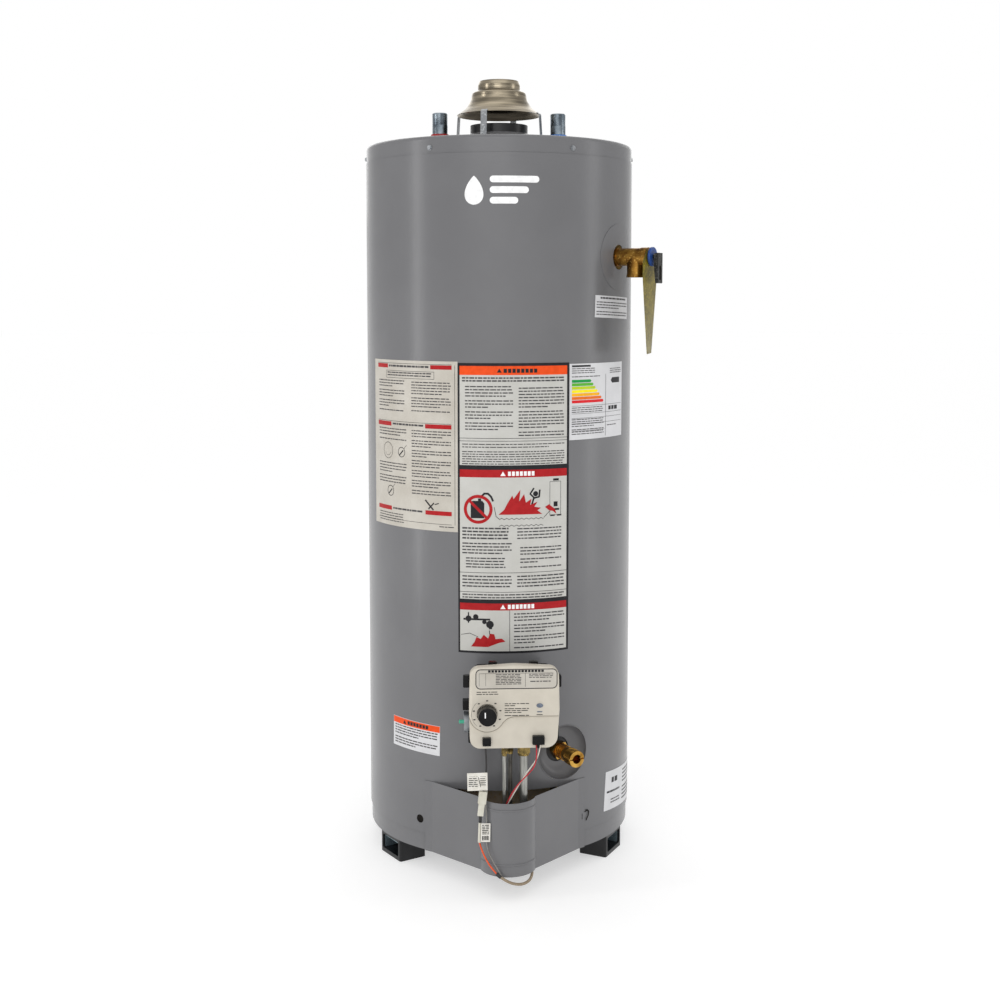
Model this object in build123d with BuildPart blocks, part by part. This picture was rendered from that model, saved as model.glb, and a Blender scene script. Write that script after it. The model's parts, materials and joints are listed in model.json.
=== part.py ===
from build123d import *

import os
from math import cos, pi, radians, sin, tan

# Tank gas water heater, short class, as an assembly of separate pieces.
# Millimetres, +Z up, floor at z = 0, front of the heater at -Y.  The pieces are laid out about the
# tank's axis, with angles counted round the tank from the front towards +X.  keep() moves each finished
# piece so that the written origin is the centre of the footprint box, on the floor.

# ---- driving dimensions -------------------------------------------------------------------------
JACKET_R = 228.6
SHEET = 0.8
PAN_BOTTOM = 38.5
PAN_R = 226.5
PAN_LIP = 72.0
JACKET_BOTTOM = 68.0
JACKET_TOP = 1181.0
LID_R = 227.6
LID_SHOULDER = 1209.5
LID_TOP = 1213.0
TANK_R = 203.2
TANK_WALL = 2.4
FLUE_R = 49.5
FLUE_TOP = 1248.0

PORT_X = 101.6
NIPPLE_R = 13.34
NIPPLE_BORE = 10.45
NIPPLE_THREAD_R = 13.1
NIPPLE_TOP = 1268.8
SPUD_TOP = 1196.0

RELIEF_ANGLE = 57.0
RELIEF_Z = 1020.5
RELIEF_OUTLET_R = 260.0
RELIEF_STEM_PIN = 299.0
LEVER_OUT = 303.7
LEVER_HALF_WIDTH = 9.0

DRAIN_ANGLE = 24.8
DRAIN_Z = 208.0
DRAIN_THREAD_R = 13.5
DRAIN_END = 270.0

CONTROL_X = 7.5
CONTROL_Z = 315.5
CONTROL_W = 142.0
CONTROL_H = 132.5
COVER_FRONT = 313.0
COVER_BACK = 297.0
KNOB_X = -35.5
KNOB_Z = 305.0
KNOB_R = 15.0
KNOB_FRONT = 332.0
BUTTON_X = -36.0
BUTTON_Z = 261.0
PLUG_X = 45.0
PLUG_Z = 263.0
INLET_Z = 283.0
DOOR_SCREW_ANGLE = 18.4
DOOR_SCREW_HEIGHTS = (79.0, 151.0)
INLET_Y = -277.0

DOOR_TOP = 158.0
DOOR_ANGLE = 32.0
BUMP_Y = -263.5
BUMP_R = 44.5
BUMP_HALF = 43.5

FOOT_W = 68.0
FOOT_OUT = 222.0
FOOT_IN = 172.0
FOOT_ANGLES = (60.0, 180.0, -60.0)

GAP = 0.3
RUNNING = 0.05

# The footprint box reaches from the jacket's left side to the relief lever, and from the knob to the
# jacket's back seam, so its centre is this far from the tank's axis.
SEAM_PROUD = 0.8
LEFT = -JACKET_R
RIGHT = LEVER_OUT * sin(radians(RELIEF_ANGLE)) + LEVER_HALF_WIDTH * cos(radians(RELIEF_ANGLE))
FRONT = -KNOB_FRONT
BACK = JACKET_R + SEAM_PROUD
TO_ORIGIN = Location((-(LEFT + RIGHT) / 2, -(FRONT + BACK) / 2, 0))

os.makedirs("parts", exist_ok=True)


# ---- helpers ------------------------------------------------------------------------------------
def keep(piece, node):
    """Label one finished piece, bring it to the footprint's origin and write it."""
    placed = piece.part.moved(TO_ORIGIN)
    placed.label = node
    export_step(placed, f"parts/{node}.step")


def outward(angle, radius, height):
    """A plane on the heater's side that faces outward, its x level and its y up."""
    turn = radians(angle)
    out = Vector(sin(turn), -cos(turn), 0)
    level = Vector(cos(turn), sin(turn), 0)
    return Plane(origin=out * radius + Vector(0, 0, height), x_dir=level, z_dir=out)


def front(depth):
    """A plane that faces the front, depth in front of the tank's axis, its y up."""
    return Plane(origin=(0, -depth, 0), x_dir=(1, 0, 0), z_dir=(0, -1, 0))


def on_axis(x, y, height):
    """A level plane about an upright line."""
    return Plane(origin=(x, y, height))


def corner_radii(route):
    """The bend at each corner of a cord: 0.45 of the shorter run over the tangent of half the turn."""
    points = [Vector(*point) for point in route]
    radii = []
    for before, corner, after in zip(points, points[1:], points[2:]):
        run_in = corner - before
        run_out = after - corner
        shorter = min(run_in.length, run_out.length)
        radii.append(0.45 * shorter / tan(radians(run_in.get_angle(run_out)) / 2))
    return radii


def rod(route, radius, bends, bore=0.0):
    """A round bar or tube along straight runs joined by tangent arcs."""
    with BuildPart() as piece:
        with BuildLine() as path:
            FilletPolyline(*route, radius=bends)
        with BuildSketch(Plane(origin=path.line @ 0, z_dir=path.line % 0)):
            Circle(radius)
            if bore:
                Circle(bore, mode=Mode.SUBTRACT)
        sweep(path=path.line)
    return piece


def cord(route, diameter, node):
    """A free wire along its route, with its bends and its length printed."""
    radii = corner_radii(route)
    piece = rod(route, diameter / 2, radii)
    length = piece.part.volume / (pi * diameter * diameter / 4)
    print(node, "length", round(length, 1), "radii", [round(radius, 1) for radius in radii])
    keep(piece, node)


# ---- jacket, lid and base -----------------------------------------------------------------------
RELIEF_HOLE_R = 20.5
DISH_R = 46.0
DOORWAY_HALF = 85.0
DOORWAY_TOP = 152.0
VIEW_HOLE_ANGLE = -38.2
VIEW_HOLE_Z = 90.0

with BuildPart() as jacket:
    with BuildSketch(Plane.XY.offset(JACKET_BOTTOM)):
        Circle(JACKET_R)
        Circle(JACKET_R - SHEET, mode=Mode.SUBTRACT)
    extrude(amount=JACKET_TOP - JACKET_BOTTOM)
    # The lapped seam up the back.
    with BuildSketch(Plane.XY.offset(JACKET_BOTTOM)):
        with Locations((0, JACKET_R)):
            Rectangle(14, 2 * SEAM_PROUD)
        Circle(JACKET_R - SHEET / 2, mode=Mode.SUBTRACT)
    extrude(amount=JACKET_TOP - JACKET_BOTTOM)
    with BuildSketch(outward(DRAIN_ANGLE, 150, DRAIN_Z)):
        Circle(DISH_R + GAP)
    extrude(amount=100, mode=Mode.SUBTRACT)
    with BuildSketch(outward(RELIEF_ANGLE, 150, RELIEF_Z)):
        Circle(RELIEF_HOLE_R)
    extrude(amount=100, mode=Mode.SUBTRACT)
    with BuildSketch(outward(VIEW_HOLE_ANGLE, 150, VIEW_HOLE_Z)):
        Circle(7)
    extrude(amount=100, mode=Mode.SUBTRACT)
    with BuildSketch(front(150)):
        with Locations((0, (JACKET_BOTTOM + DOORWAY_TOP) / 2)):
            Rectangle(2 * DOORWAY_HALF, DOORWAY_TOP - JACKET_BOTTOM)
        with Locations((CONTROL_X, CONTROL_Z)):
            Circle(22)
    extrude(amount=100, mode=Mode.SUBTRACT)
keep(jacket, "jacket")

RIM_SCREWS = 6
RIM_SCREW_START = 28.0
RIM_SCREW_Z = 1190.7
RIM_SCREW_ANGLES = [RIM_SCREW_START + 360 / RIM_SCREWS * i for i in range(RIM_SCREWS)]
CONE_FOOT_R = 69.0
CONE_TOP_R = 50.8
CONE_TOP = 1233.5

with BuildPart() as top_pan:
    with BuildSketch(Plane.XZ):
        with BuildLine():
            FilletPolyline(
                (LID_R, JACKET_TOP - 9),
                (LID_R, LID_SHOULDER),
                (CONE_FOOT_R, LID_TOP),
                (CONE_TOP_R, CONE_TOP),
                radius=(7, 4),
            )
            offset(amount=SHEET, side=Side.LEFT)
        make_face()
    revolve(axis=Axis.Z)
    with BuildSketch(Plane.XY.offset(JACKET_TOP)):
        with Locations((PORT_X, 0), (-PORT_X, 0)):
            Circle(22)
    extrude(amount=40, mode=Mode.SUBTRACT)
    for angle in RIM_SCREW_ANGLES:
        with BuildSketch(outward(angle, LID_R - 5, RIM_SCREW_Z)):
            Circle(2.1)
        extrude(amount=10, mode=Mode.SUBTRACT)
keep(top_pan, "top_pan")

with BuildPart() as rim_screws:
    for angle in RIM_SCREW_ANGLES:
        with BuildSketch(outward(angle, LID_R - SHEET - 0.4, RIM_SCREW_Z)):
            Circle(1.9)
        extrude(amount=SHEET + 0.6)
        with BuildSketch(outward(angle, LID_R + 0.2, RIM_SCREW_Z)):
            Circle(4.2)
        extrude(amount=0.8)
        with BuildSketch(outward(angle, LID_R + 1.0, RIM_SCREW_Z)):
            RegularPolygon(radius=3.3, side_count=6)
        extrude(amount=2.2)
keep(rim_screws, "rim_screws")

AIR_INLET_R = 70.0

with BuildPart() as base_pan:
    with BuildSketch(Plane.XY.offset(PAN_BOTTOM)):
        Circle(PAN_R)
    extrude(amount=PAN_LIP - PAN_BOTTOM)
    with BuildSketch(Plane.XY.offset(PAN_BOTTOM + 1)):
        Circle(PAN_R - 1)
    extrude(amount=PAN_LIP - PAN_BOTTOM, mode=Mode.SUBTRACT)
    with BuildSketch(Plane.XY.offset(PAN_BOTTOM)):
        Circle(AIR_INLET_R)
    extrude(amount=2, mode=Mode.SUBTRACT)
keep(base_pan, "base_pan")

# ---- tank, flue and insulation ------------------------------------------------------------------
TANK_BOTTOM = PAN_BOTTOM + 1
HEAD_EDGE = 1128.0
HEAD_TOP = 1172.0
FLOOR_EDGE = 160.0
FLOOR_TOP = 196.0
FLUE_HOLE_R = FLUE_R + GAP
CHAMBER_HALF = 62.0
CHAMBER_SILL = 84.0
CHAMBER_LINTEL = 146.0
TOP_SPUDS = ((PORT_X, 0), (-PORT_X, 0), (0, PORT_X))
SPUD_R = 20.0

with BuildPart() as tank_shell:
    with BuildSketch(Plane.XY.offset(TANK_BOTTOM)):
        Circle(TANK_R)
        Circle(TANK_R - TANK_WALL, mode=Mode.SUBTRACT)
    extrude(amount=HEAD_EDGE - TANK_BOTTOM)
    with BuildSketch(Plane.XZ):
        with BuildLine():
            ThreePointArc((FLUE_HOLE_R, HEAD_TOP), (140, HEAD_TOP - 15), (TANK_R, HEAD_EDGE))
            Line((TANK_R, HEAD_EDGE), (TANK_R - TANK_WALL, HEAD_EDGE))
            ThreePointArc(
                (TANK_R - TANK_WALL, HEAD_EDGE), (139, HEAD_TOP - 18), (FLUE_HOLE_R, HEAD_TOP - 3)
            )
            Line((FLUE_HOLE_R, HEAD_TOP - 3), (FLUE_HOLE_R, HEAD_TOP))
        make_face()
    revolve(axis=Axis.Z)
    with BuildSketch(Plane.XZ):
        with BuildLine():
            ThreePointArc((FLUE_HOLE_R, FLOOR_TOP), (130, FLOOR_TOP - 10), (TANK_R - 1, FLOOR_EDGE))
            Line((TANK_R - 1, FLOOR_EDGE), (TANK_R - 1, FLOOR_EDGE - 3))
            ThreePointArc(
                (TANK_R - 1, FLOOR_EDGE - 3), (130, FLOOR_TOP - 13), (FLUE_HOLE_R, FLOOR_TOP - 3)
            )
            Line((FLUE_HOLE_R, FLOOR_TOP - 3), (FLUE_HOLE_R, FLOOR_TOP))
        make_face()
    revolve(axis=Axis.Z)
    with BuildSketch(Plane.XY.offset(HEAD_EDGE - 20)):
        with Locations(*TOP_SPUDS):
            Circle(SPUD_R + RUNNING)
    extrude(amount=90, mode=Mode.SUBTRACT)
    for angle, height in ((RELIEF_ANGLE, RELIEF_Z), (DRAIN_ANGLE, DRAIN_Z)):
        with BuildSketch(outward(angle, 150, height)):
            Circle(SPUD_R + RUNNING)
        extrude(amount=70, mode=Mode.SUBTRACT)
    with BuildSketch(front(150)):
        with Locations((CONTROL_X, CONTROL_Z)):
            Circle(SPUD_R + RUNNING)
        with Locations((0, (CHAMBER_SILL + CHAMBER_LINTEL) / 2)):
            Rectangle(2 * CHAMBER_HALF, CHAMBER_LINTEL - CHAMBER_SILL)
    extrude(amount=70, mode=Mode.SUBTRACT)
    for angle in (DOOR_SCREW_ANGLE, -DOOR_SCREW_ANGLE):
        for height in DOOR_SCREW_HEIGHTS:
            with BuildSketch(outward(angle, 150, height)):
                Circle(2.4)
            extrude(amount=70, mode=Mode.SUBTRACT)
keep(tank_shell, "tank_shell")

with BuildPart() as tank_spuds:
    with BuildSketch(Plane.XY.offset(SPUD_TOP - 42)):
        with Locations(*TOP_SPUDS):
            Circle(SPUD_R)
            Circle(NIPPLE_R + RUNNING, mode=Mode.SUBTRACT)
    extrude(amount=42)
    for angle, height, reach in ((RELIEF_ANGLE, RELIEF_Z, 214.0), (DRAIN_ANGLE, DRAIN_Z, 205.0)):
        with BuildSketch(outward(angle, 194, height)):
            Circle(SPUD_R)
            Circle(NIPPLE_R + RUNNING, mode=Mode.SUBTRACT)
        extrude(amount=reach - 194)
    with BuildSketch(front(194)):
        with Locations((CONTROL_X, CONTROL_Z)):
            Circle(SPUD_R)
            Circle(NIPPLE_R + RUNNING, mode=Mode.SUBTRACT)
    extrude(amount=20)
keep(tank_spuds, "tank_spuds")

with BuildPart() as flue_tube:
    with BuildSketch(Plane.XY.offset(FLOOR_TOP - 8)):
        Circle(FLUE_R)
        Circle(FLUE_R - 2.5, mode=Mode.SUBTRACT)
    extrude(amount=FLUE_TOP - FLOOR_TOP + 8)
keep(flue_tube, "flue_tube")

BAFFLE_TABS = 9
BAFFLE_PITCH = 95.0

with BuildPart() as flue_baffle:
    with BuildSketch(Plane.XZ):
        with Locations((0, 740)):
            Rectangle(88, 900)
        for i in range(BAFFLE_TABS):
            with Locations((-14 + 28 * (i % 2), 360 + BAFFLE_PITCH * i)):
                Rectangle(44, 40, mode=Mode.SUBTRACT)
    extrude(amount=0.6, both=True)
    # Each window's tab stays attached along its lower edge and leans across the flue.
    for i in range(BAFFLE_TABS):
        side = 1 if i % 2 else -1
        hinge = Plane(
            origin=(14 * side, 0, 340 + BAFFLE_PITCH * i), x_dir=(1, 0, 0), z_dir=(0, -side * 0.8, 0.6)
        )
        with BuildSketch(hinge):
            with Locations((0, 15)):
                Rectangle(40, 32)
        extrude(amount=1.2)
keep(flue_baffle, "flue_baffle")

with BuildPart() as foam_insulation:
    with BuildSketch(Plane.XZ):
        with BuildLine():
            Polyline(
                (TANK_R + 0.5, HEAD_EDGE + 1),
                (TANK_R + 0.5, 158),
                (JACKET_R - SHEET - 0.5, 158),
                (JACKET_R - SHEET - 0.5, JACKET_TOP - 11),
                (LID_R - SHEET - 0.5, JACKET_TOP - 11),
                (LID_R - SHEET - 0.5, LID_SHOULDER - 9),
                (LID_R - 9, LID_SHOULDER - 2.5),
                (FLUE_R + 1.5, LID_SHOULDER - 2.5),
                (FLUE_R + 1.5, HEAD_TOP + 1),
            )
            ThreePointArc((FLUE_R + 1.5, HEAD_TOP + 1), (140.5, HEAD_TOP - 14), (TANK_R + 0.5, HEAD_EDGE + 1))
        make_face()
    revolve(axis=Axis.Z)
    with BuildSketch(Plane.XY.offset(HEAD_EDGE)):
        with Locations(*TOP_SPUDS):
            Circle(SPUD_R + 1)
    extrude(amount=100, mode=Mode.SUBTRACT)
    for angle, height, radius in (
        (RELIEF_ANGLE, RELIEF_Z, RELIEF_HOLE_R + 1),
        (DRAIN_ANGLE, DRAIN_Z, DISH_R + 1),
    ):
        with BuildSketch(outward(angle, 150, height)):
            Circle(radius)
        extrude(amount=100, mode=Mode.SUBTRACT)
    with BuildSketch(front(150)):
        with Locations((CONTROL_X, CONTROL_Z)):
            Circle(SPUD_R + 1)
    extrude(amount=100, mode=Mode.SUBTRACT)
keep(foam_insulation, "foam_insulation")

for node, x in (("hot_nipple", -PORT_X), ("cold_nipple", PORT_X)):
    with BuildPart() as nipple:
        with BuildSketch(on_axis(x, 0, SPUD_TOP - 30)):
            Circle(NIPPLE_R)
            Circle(NIPPLE_BORE, mode=Mode.SUBTRACT)
        extrude(amount=NIPPLE_TOP - 19 - SPUD_TOP + 30)
        with BuildSketch(on_axis(x, 0, NIPPLE_TOP - 19)):
            Circle(NIPPLE_THREAD_R)
            Circle(NIPPLE_BORE, mode=Mode.SUBTRACT)
        extrude(amount=19)
    keep(nipple, node)

for node, x in (("hot_cap", -PORT_X), ("cold_cap", PORT_X)):
    with BuildPart() as cap:
        with BuildSketch(Plane(origin=(x, 0, 0), x_dir=(1, 0, 0), z_dir=(0, -1, 0))):
            with BuildLine():
                Polyline(
                    (13.6, 1233),
                    (15.0, 1233),
                    (16.0, 1230.5),
                    (28.4, 1226),
                    (32.0, 1214.2),
                    (30.4, 1214.2),
                    (27.0, 1224.8),
                    (13.6, 1229.6),
                    close=True,
                )
            make_face()
        revolve(axis=Axis((x, 0, 0), (0, 0, 1)))
    keep(cap, node)

with BuildPart() as dip_tube:
    with BuildSketch(on_axis(PORT_X, 0, 262)):
        Circle(9.4)
        Circle(7.6, mode=Mode.SUBTRACT)
    extrude(amount=920)
    with BuildSketch(on_axis(PORT_X, 0, 1182)):
        Circle(NIPPLE_BORE - RUNNING)
        Circle(7.6, mode=Mode.SUBTRACT)
    extrude(amount=16)
keep(dip_tube, "dip_tube")

with BuildPart() as anode_rod:
    with BuildSketch(on_axis(0, PORT_X, 330)):
        Circle(10.5)
    extrude(amount=SPUD_TOP - 20 - 330)
    with BuildSketch(on_axis(0, PORT_X, SPUD_TOP - 20)):
        Circle(NIPPLE_R)
    extrude(amount=20)
    with BuildSketch(on_axis(0, PORT_X, SPUD_TOP)):
        RegularPolygon(radius=15.6, side_count=6)
    extrude(amount=8)
keep(anode_rod, "anode_rod")

# ---- draft hood ---------------------------------------------------------------------------------
HOOD_RIM_R = 72.2
HOOD_RIM_Z = 1265.6
COLLAR_R = 36.4
COLLAR_BASE = 1307.5
COLLAR_TOP = 1316.0
HOOD_TOP = 1323.0

with BuildPart() as draft_hood:
    with BuildSketch(Plane.XZ):
        with BuildLine():
            FilletPolyline(
                (HOOD_RIM_R, HOOD_RIM_Z),
                (56.5, 1277.2),
                (48.6, 1290.5),
                (46.2, 1303.0),
                (COLLAR_R, COLLAR_BASE - 0.8),
                (COLLAR_R, COLLAR_TOP),
                (33.6, HOOD_TOP),
                radius=(26, 24, 4, 2, 3),
            )
            offset(amount=0.9, side=Side.LEFT)
        make_face()
    revolve(axis=Axis.Z)
keep(draft_hood, "draft_hood")

LEG_ANGLES = (-23.0, 67.0, 157.0, 247.0)
LEG_W = 11.0

with BuildPart() as draft_hood_legs:
    for angle in LEG_ANGLES:
        turn = radians(angle)
        # The leg's side view: x runs outward, y up, and the sheet's width across it.
        out, across = (sin(turn), -cos(turn), 0), (-cos(turn), -sin(turn), 0)
        side_view = Plane(origin=(0, 0, 0), x_dir=out, z_dir=across)
        with BuildSketch(side_view):
            with BuildLine():
                FilletPolyline((76.8, LID_TOP + 0.3), (73.5, 1265.0), (69.8, 1267.8), radius=1.0)
                offset(amount=1.0, side=Side.RIGHT)
            make_face()
        extrude(amount=LEG_W / 2, both=True)
keep(draft_hood_legs, "draft_hood_legs")

# ---- temperature and pressure relief valve ------------------------------------------------------
RELIEF_OUT = Axis((0, 0, 0), outward(RELIEF_ANGLE, 1, 0).z_dir)
RELIEF_OUTLET_BOTTOM = 987.0
RELIEF_NECK_R = 7.0
NECK_START = 283.0
DISC_START = 288.0
DISC_END = 291.8
STEM_R = 3.0
OUTLET_BORE = 12.2
PIN_R = 1.6

with BuildPart() as relief_valve_body:
    with BuildSketch(outward(RELIEF_ANGLE, 196, RELIEF_Z)):
        Circle(NIPPLE_R)
    extrude(amount=20)
    with BuildSketch(outward(RELIEF_ANGLE, 215, RELIEF_Z)):
        RegularPolygon(radius=17.3, side_count=6)
    extrude(amount=15)
    with BuildSketch(outward(RELIEF_ANGLE, 230, RELIEF_Z)):
        Circle(14.5)
    extrude(amount=42)
    with BuildSketch(outward(RELIEF_ANGLE, 271, RELIEF_Z)):
        Circle(15.4)
    extrude(amount=NECK_START - 271)
    with BuildSketch(outward(RELIEF_ANGLE, NECK_START, RELIEF_Z)):
        Circle(RELIEF_NECK_R)
    extrude(amount=DISC_START - NECK_START)
    outlet_x = RELIEF_OUTLET_R * sin(radians(RELIEF_ANGLE))
    outlet_y = -RELIEF_OUTLET_R * cos(radians(RELIEF_ANGLE))
    with BuildSketch(on_axis(outlet_x, outlet_y, RELIEF_OUTLET_BOTTOM)):
        Circle(14.6)
    extrude(amount=RELIEF_Z - RELIEF_OUTLET_BOTTOM)
    with BuildSketch(on_axis(outlet_x, outlet_y, RELIEF_OUTLET_BOTTOM)):
        Circle(15.3)
    extrude(amount=5)
    # Waterway: in through the thread, past the seat, down and out.
    with BuildSketch(outward(RELIEF_ANGLE, 196, RELIEF_Z)):
        Circle(9.5)
    extrude(amount=66, mode=Mode.SUBTRACT)
    with BuildSketch(on_axis(outlet_x, outlet_y, RELIEF_OUTLET_BOTTOM)):
        Circle(OUTLET_BORE)
    extrude(amount=16, mode=Mode.SUBTRACT)
    with BuildSketch(on_axis(outlet_x, outlet_y, RELIEF_OUTLET_BOTTOM)):
        Circle(8.5)
    extrude(amount=RELIEF_Z - RELIEF_OUTLET_BOTTOM, mode=Mode.SUBTRACT)
    with BuildSketch(outward(RELIEF_ANGLE, 255, RELIEF_Z)):
        Circle(STEM_R + RUNNING)
    extrude(amount=40, mode=Mode.SUBTRACT)
keep(relief_valve_body, "relief_valve_body")

with BuildPart() as relief_port_cover:
    with BuildSketch(outward(RELIEF_ANGLE, 150, RELIEF_Z)):
        Circle(55)
        Circle(RELIEF_HOLE_R, mode=Mode.SUBTRACT)
    extrude(amount=90)
    with BuildSketch(Plane.XY.offset(RELIEF_Z - 60)):
        Circle(JACKET_R + 0.7)
        Circle(JACKET_R + 0.1, mode=Mode.SUBTRACT)
    extrude(amount=120, mode=Mode.INTERSECT)
keep(relief_port_cover, "relief_port_cover")

with BuildPart() as relief_name_disc:
    with BuildSketch(outward(RELIEF_ANGLE, DISC_START, RELIEF_Z)):
        Circle(15.8)
        Circle(STEM_R + GAP, mode=Mode.SUBTRACT)
    extrude(amount=DISC_END - DISC_START)
    fillet(relief_name_disc.faces().sort_by(RELIEF_OUT)[-1].edges(), 0.8)
keep(relief_name_disc, "relief_name_disc")

with BuildPart() as relief_stem:
    with BuildSketch(outward(RELIEF_ANGLE, 245, RELIEF_Z)):
        Circle(8.2)
    extrude(amount=4)
    with BuildSketch(outward(RELIEF_ANGLE, 249, RELIEF_Z)):
        Circle(STEM_R)
    extrude(amount=RELIEF_STEM_PIN + 2.4 - 249)
    # A round tip, so that the lever's web clears it all the way round.
    fillet(relief_stem.faces().sort_by(RELIEF_OUT)[-1].edges(), 1.6)
    with BuildSketch(outward(RELIEF_ANGLE + 90, -15, RELIEF_Z)):
        with Locations((-RELIEF_STEM_PIN, 0)):
            Circle(PIN_R + RUNNING)
    extrude(amount=30, mode=Mode.SUBTRACT)
keep(relief_stem, "relief_stem")

with BuildPart() as relief_lever_pin:
    with BuildSketch(outward(RELIEF_ANGLE + 90, -10.2, RELIEF_Z)):
        with Locations((-RELIEF_STEM_PIN, 0)):
            Circle(PIN_R)
    extrude(amount=20.4)
keep(relief_lever_pin, "relief_lever_pin")

LEVER_TOP = 1026.5
LEVER_BOTTOM = 977.0
LEVER_SHEET = 1.2

with BuildPart() as relief_lever:
    with BuildSketch(outward(RELIEF_ANGLE + 90, -LEVER_HALF_WIDTH, RELIEF_Z)):
        # Side view of the channel: x runs towards the tank, y up.
        with BuildLine():
            FilletPolyline(
                (-LEVER_OUT, LEVER_TOP - RELIEF_Z),
                (-LEVER_OUT, LEVER_BOTTOM - RELIEF_Z),
                (-LEVER_OUT + 5, LEVER_BOTTOM - RELIEF_Z),
                (-RELIEF_STEM_PIN + 3.2, -9.0),
                (-RELIEF_STEM_PIN + 3.2, 5.0),
                (-LEVER_OUT + 3, LEVER_TOP - RELIEF_Z),
                radius=(1.5, 1.5, 4, 2),
            )
            Line((-LEVER_OUT + 3, LEVER_TOP - RELIEF_Z), (-LEVER_OUT, LEVER_TOP - RELIEF_Z))
        make_face()
    extrude(amount=2 * LEVER_HALF_WIDTH)
    # Hollow between the two cheeks, behind the web.
    with BuildSketch(outward(RELIEF_ANGLE + 90, -LEVER_HALF_WIDTH + LEVER_SHEET, RELIEF_Z)):
        with Locations((-LEVER_OUT + LEVER_SHEET + 20, 0)):
            Rectangle(40, 140)
    extrude(amount=2 * (LEVER_HALF_WIDTH - LEVER_SHEET), mode=Mode.SUBTRACT)
    with BuildSketch(outward(RELIEF_ANGLE + 90, -15, RELIEF_Z)):
        with Locations((-RELIEF_STEM_PIN, 0)):
            Circle(PIN_R + RUNNING)
    extrude(amount=30, mode=Mode.SUBTRACT)
    # The long slot pressed through the web.
    with BuildSketch(outward(RELIEF_ANGLE, LEVER_OUT - 4, LEVER_BOTTOM + 17)):
        SlotOverall(24, 7, rotation=90)
    extrude(amount=10, mode=Mode.SUBTRACT)
keep(relief_lever, "relief_lever")

TAG_PLANE = 284.6
TAG_T = 1.0
TAG_W = 54.0
TAG_TOP = 1031.0
TAG_BOTTOM = 862.0
TAG_STRAIGHT = 985.0
TAG_TWIST = 17.0

with BuildPart() as relief_tag:
    with BuildSketch(outward(RELIEF_ANGLE, TAG_PLANE, 0)):
        with BuildLine():
            Polyline(
                (-TAG_W / 2, TAG_STRAIGHT),
                (TAG_W / 2, TAG_STRAIGHT),
                (TAG_W / 2, TAG_TOP - 17),
                (11, TAG_TOP),
                (-11, TAG_TOP),
                (-TAG_W / 2, TAG_TOP - 17),
                close=True,
            )
        make_face()
        with Locations((0, RELIEF_Z)):
            Circle(RELIEF_NECK_R + 0.1, mode=Mode.SUBTRACT)
    extrude(amount=TAG_T)
    # Below the lever the tag twists a little about its own length.
    tag_middle = outward(RELIEF_ANGLE, TAG_PLANE + TAG_T / 2, 0).origin
    for turned, height in ((0.0, TAG_STRAIGHT), (0.5 * TAG_TWIST, 924.0), (TAG_TWIST, TAG_BOTTOM)):
        level = outward(RELIEF_ANGLE + turned, 1, 0).x_dir
        with BuildSketch(Plane(origin=tag_middle + Vector(0, 0, height), x_dir=level, z_dir=(0, 0, 1))):
            Rectangle(TAG_W, TAG_T)
    loft()
keep(relief_tag, "relief_tag")

# ---- gas control --------------------------------------------------------------------------------
CASE_BACK = 244.0
WALL = 2.5
RAISED = 2.5
INLET_R = 16.5
INLET_END = -71.0
INLET_BORE = 9.2
PILOT_X = -6.5
PILOT_Y = -279.0
CONDUIT_X = 3.5
CONDUIT_Y = -267.5
BURNER_TUBE_X = 24.5
BURNER_TUBE_Y = -275.0
COVER_BOTTOM = CONTROL_Z - CONTROL_H / 2
DIAL_R = 29.0
PORT_BOSS_R = 6.0
BURNER_BOSS_R = 12.0
BOSS_BOTTOM = 245.2
STEP_Z = 300.0

CONTROL_LEFT = CONTROL_X - CONTROL_W / 2
CONTROL_RIGHT = CONTROL_X + CONTROL_W / 2
COVER_CROWN = CONTROL_Z + CONTROL_H / 2

# The control's outline: a low crown along the top, and sides that draw in a little below.
with BuildSketch() as control_outline:
    with BuildLine():
        FilletPolyline(
            (CONTROL_LEFT + 1.5, COVER_BOTTOM),
            (CONTROL_RIGHT - 4.0, COVER_BOTTOM),
            (CONTROL_RIGHT, CONTROL_Z - 5),
            (CONTROL_RIGHT - 1.5, COVER_CROWN - 3.5),
            (CONTROL_X, COVER_CROWN + 0.5),
            (CONTROL_LEFT + 1.5, COVER_CROWN - 3.5),
            (CONTROL_LEFT, CONTROL_Z - 5),
            radius=(16, 18, 60, 16, 60, 14, 60),
            close=True,
        )
    make_face()

with BuildSketch() as control_cavity:
    add(control_outline.sketch_local)
    offset(amount=-WALL)

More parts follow.
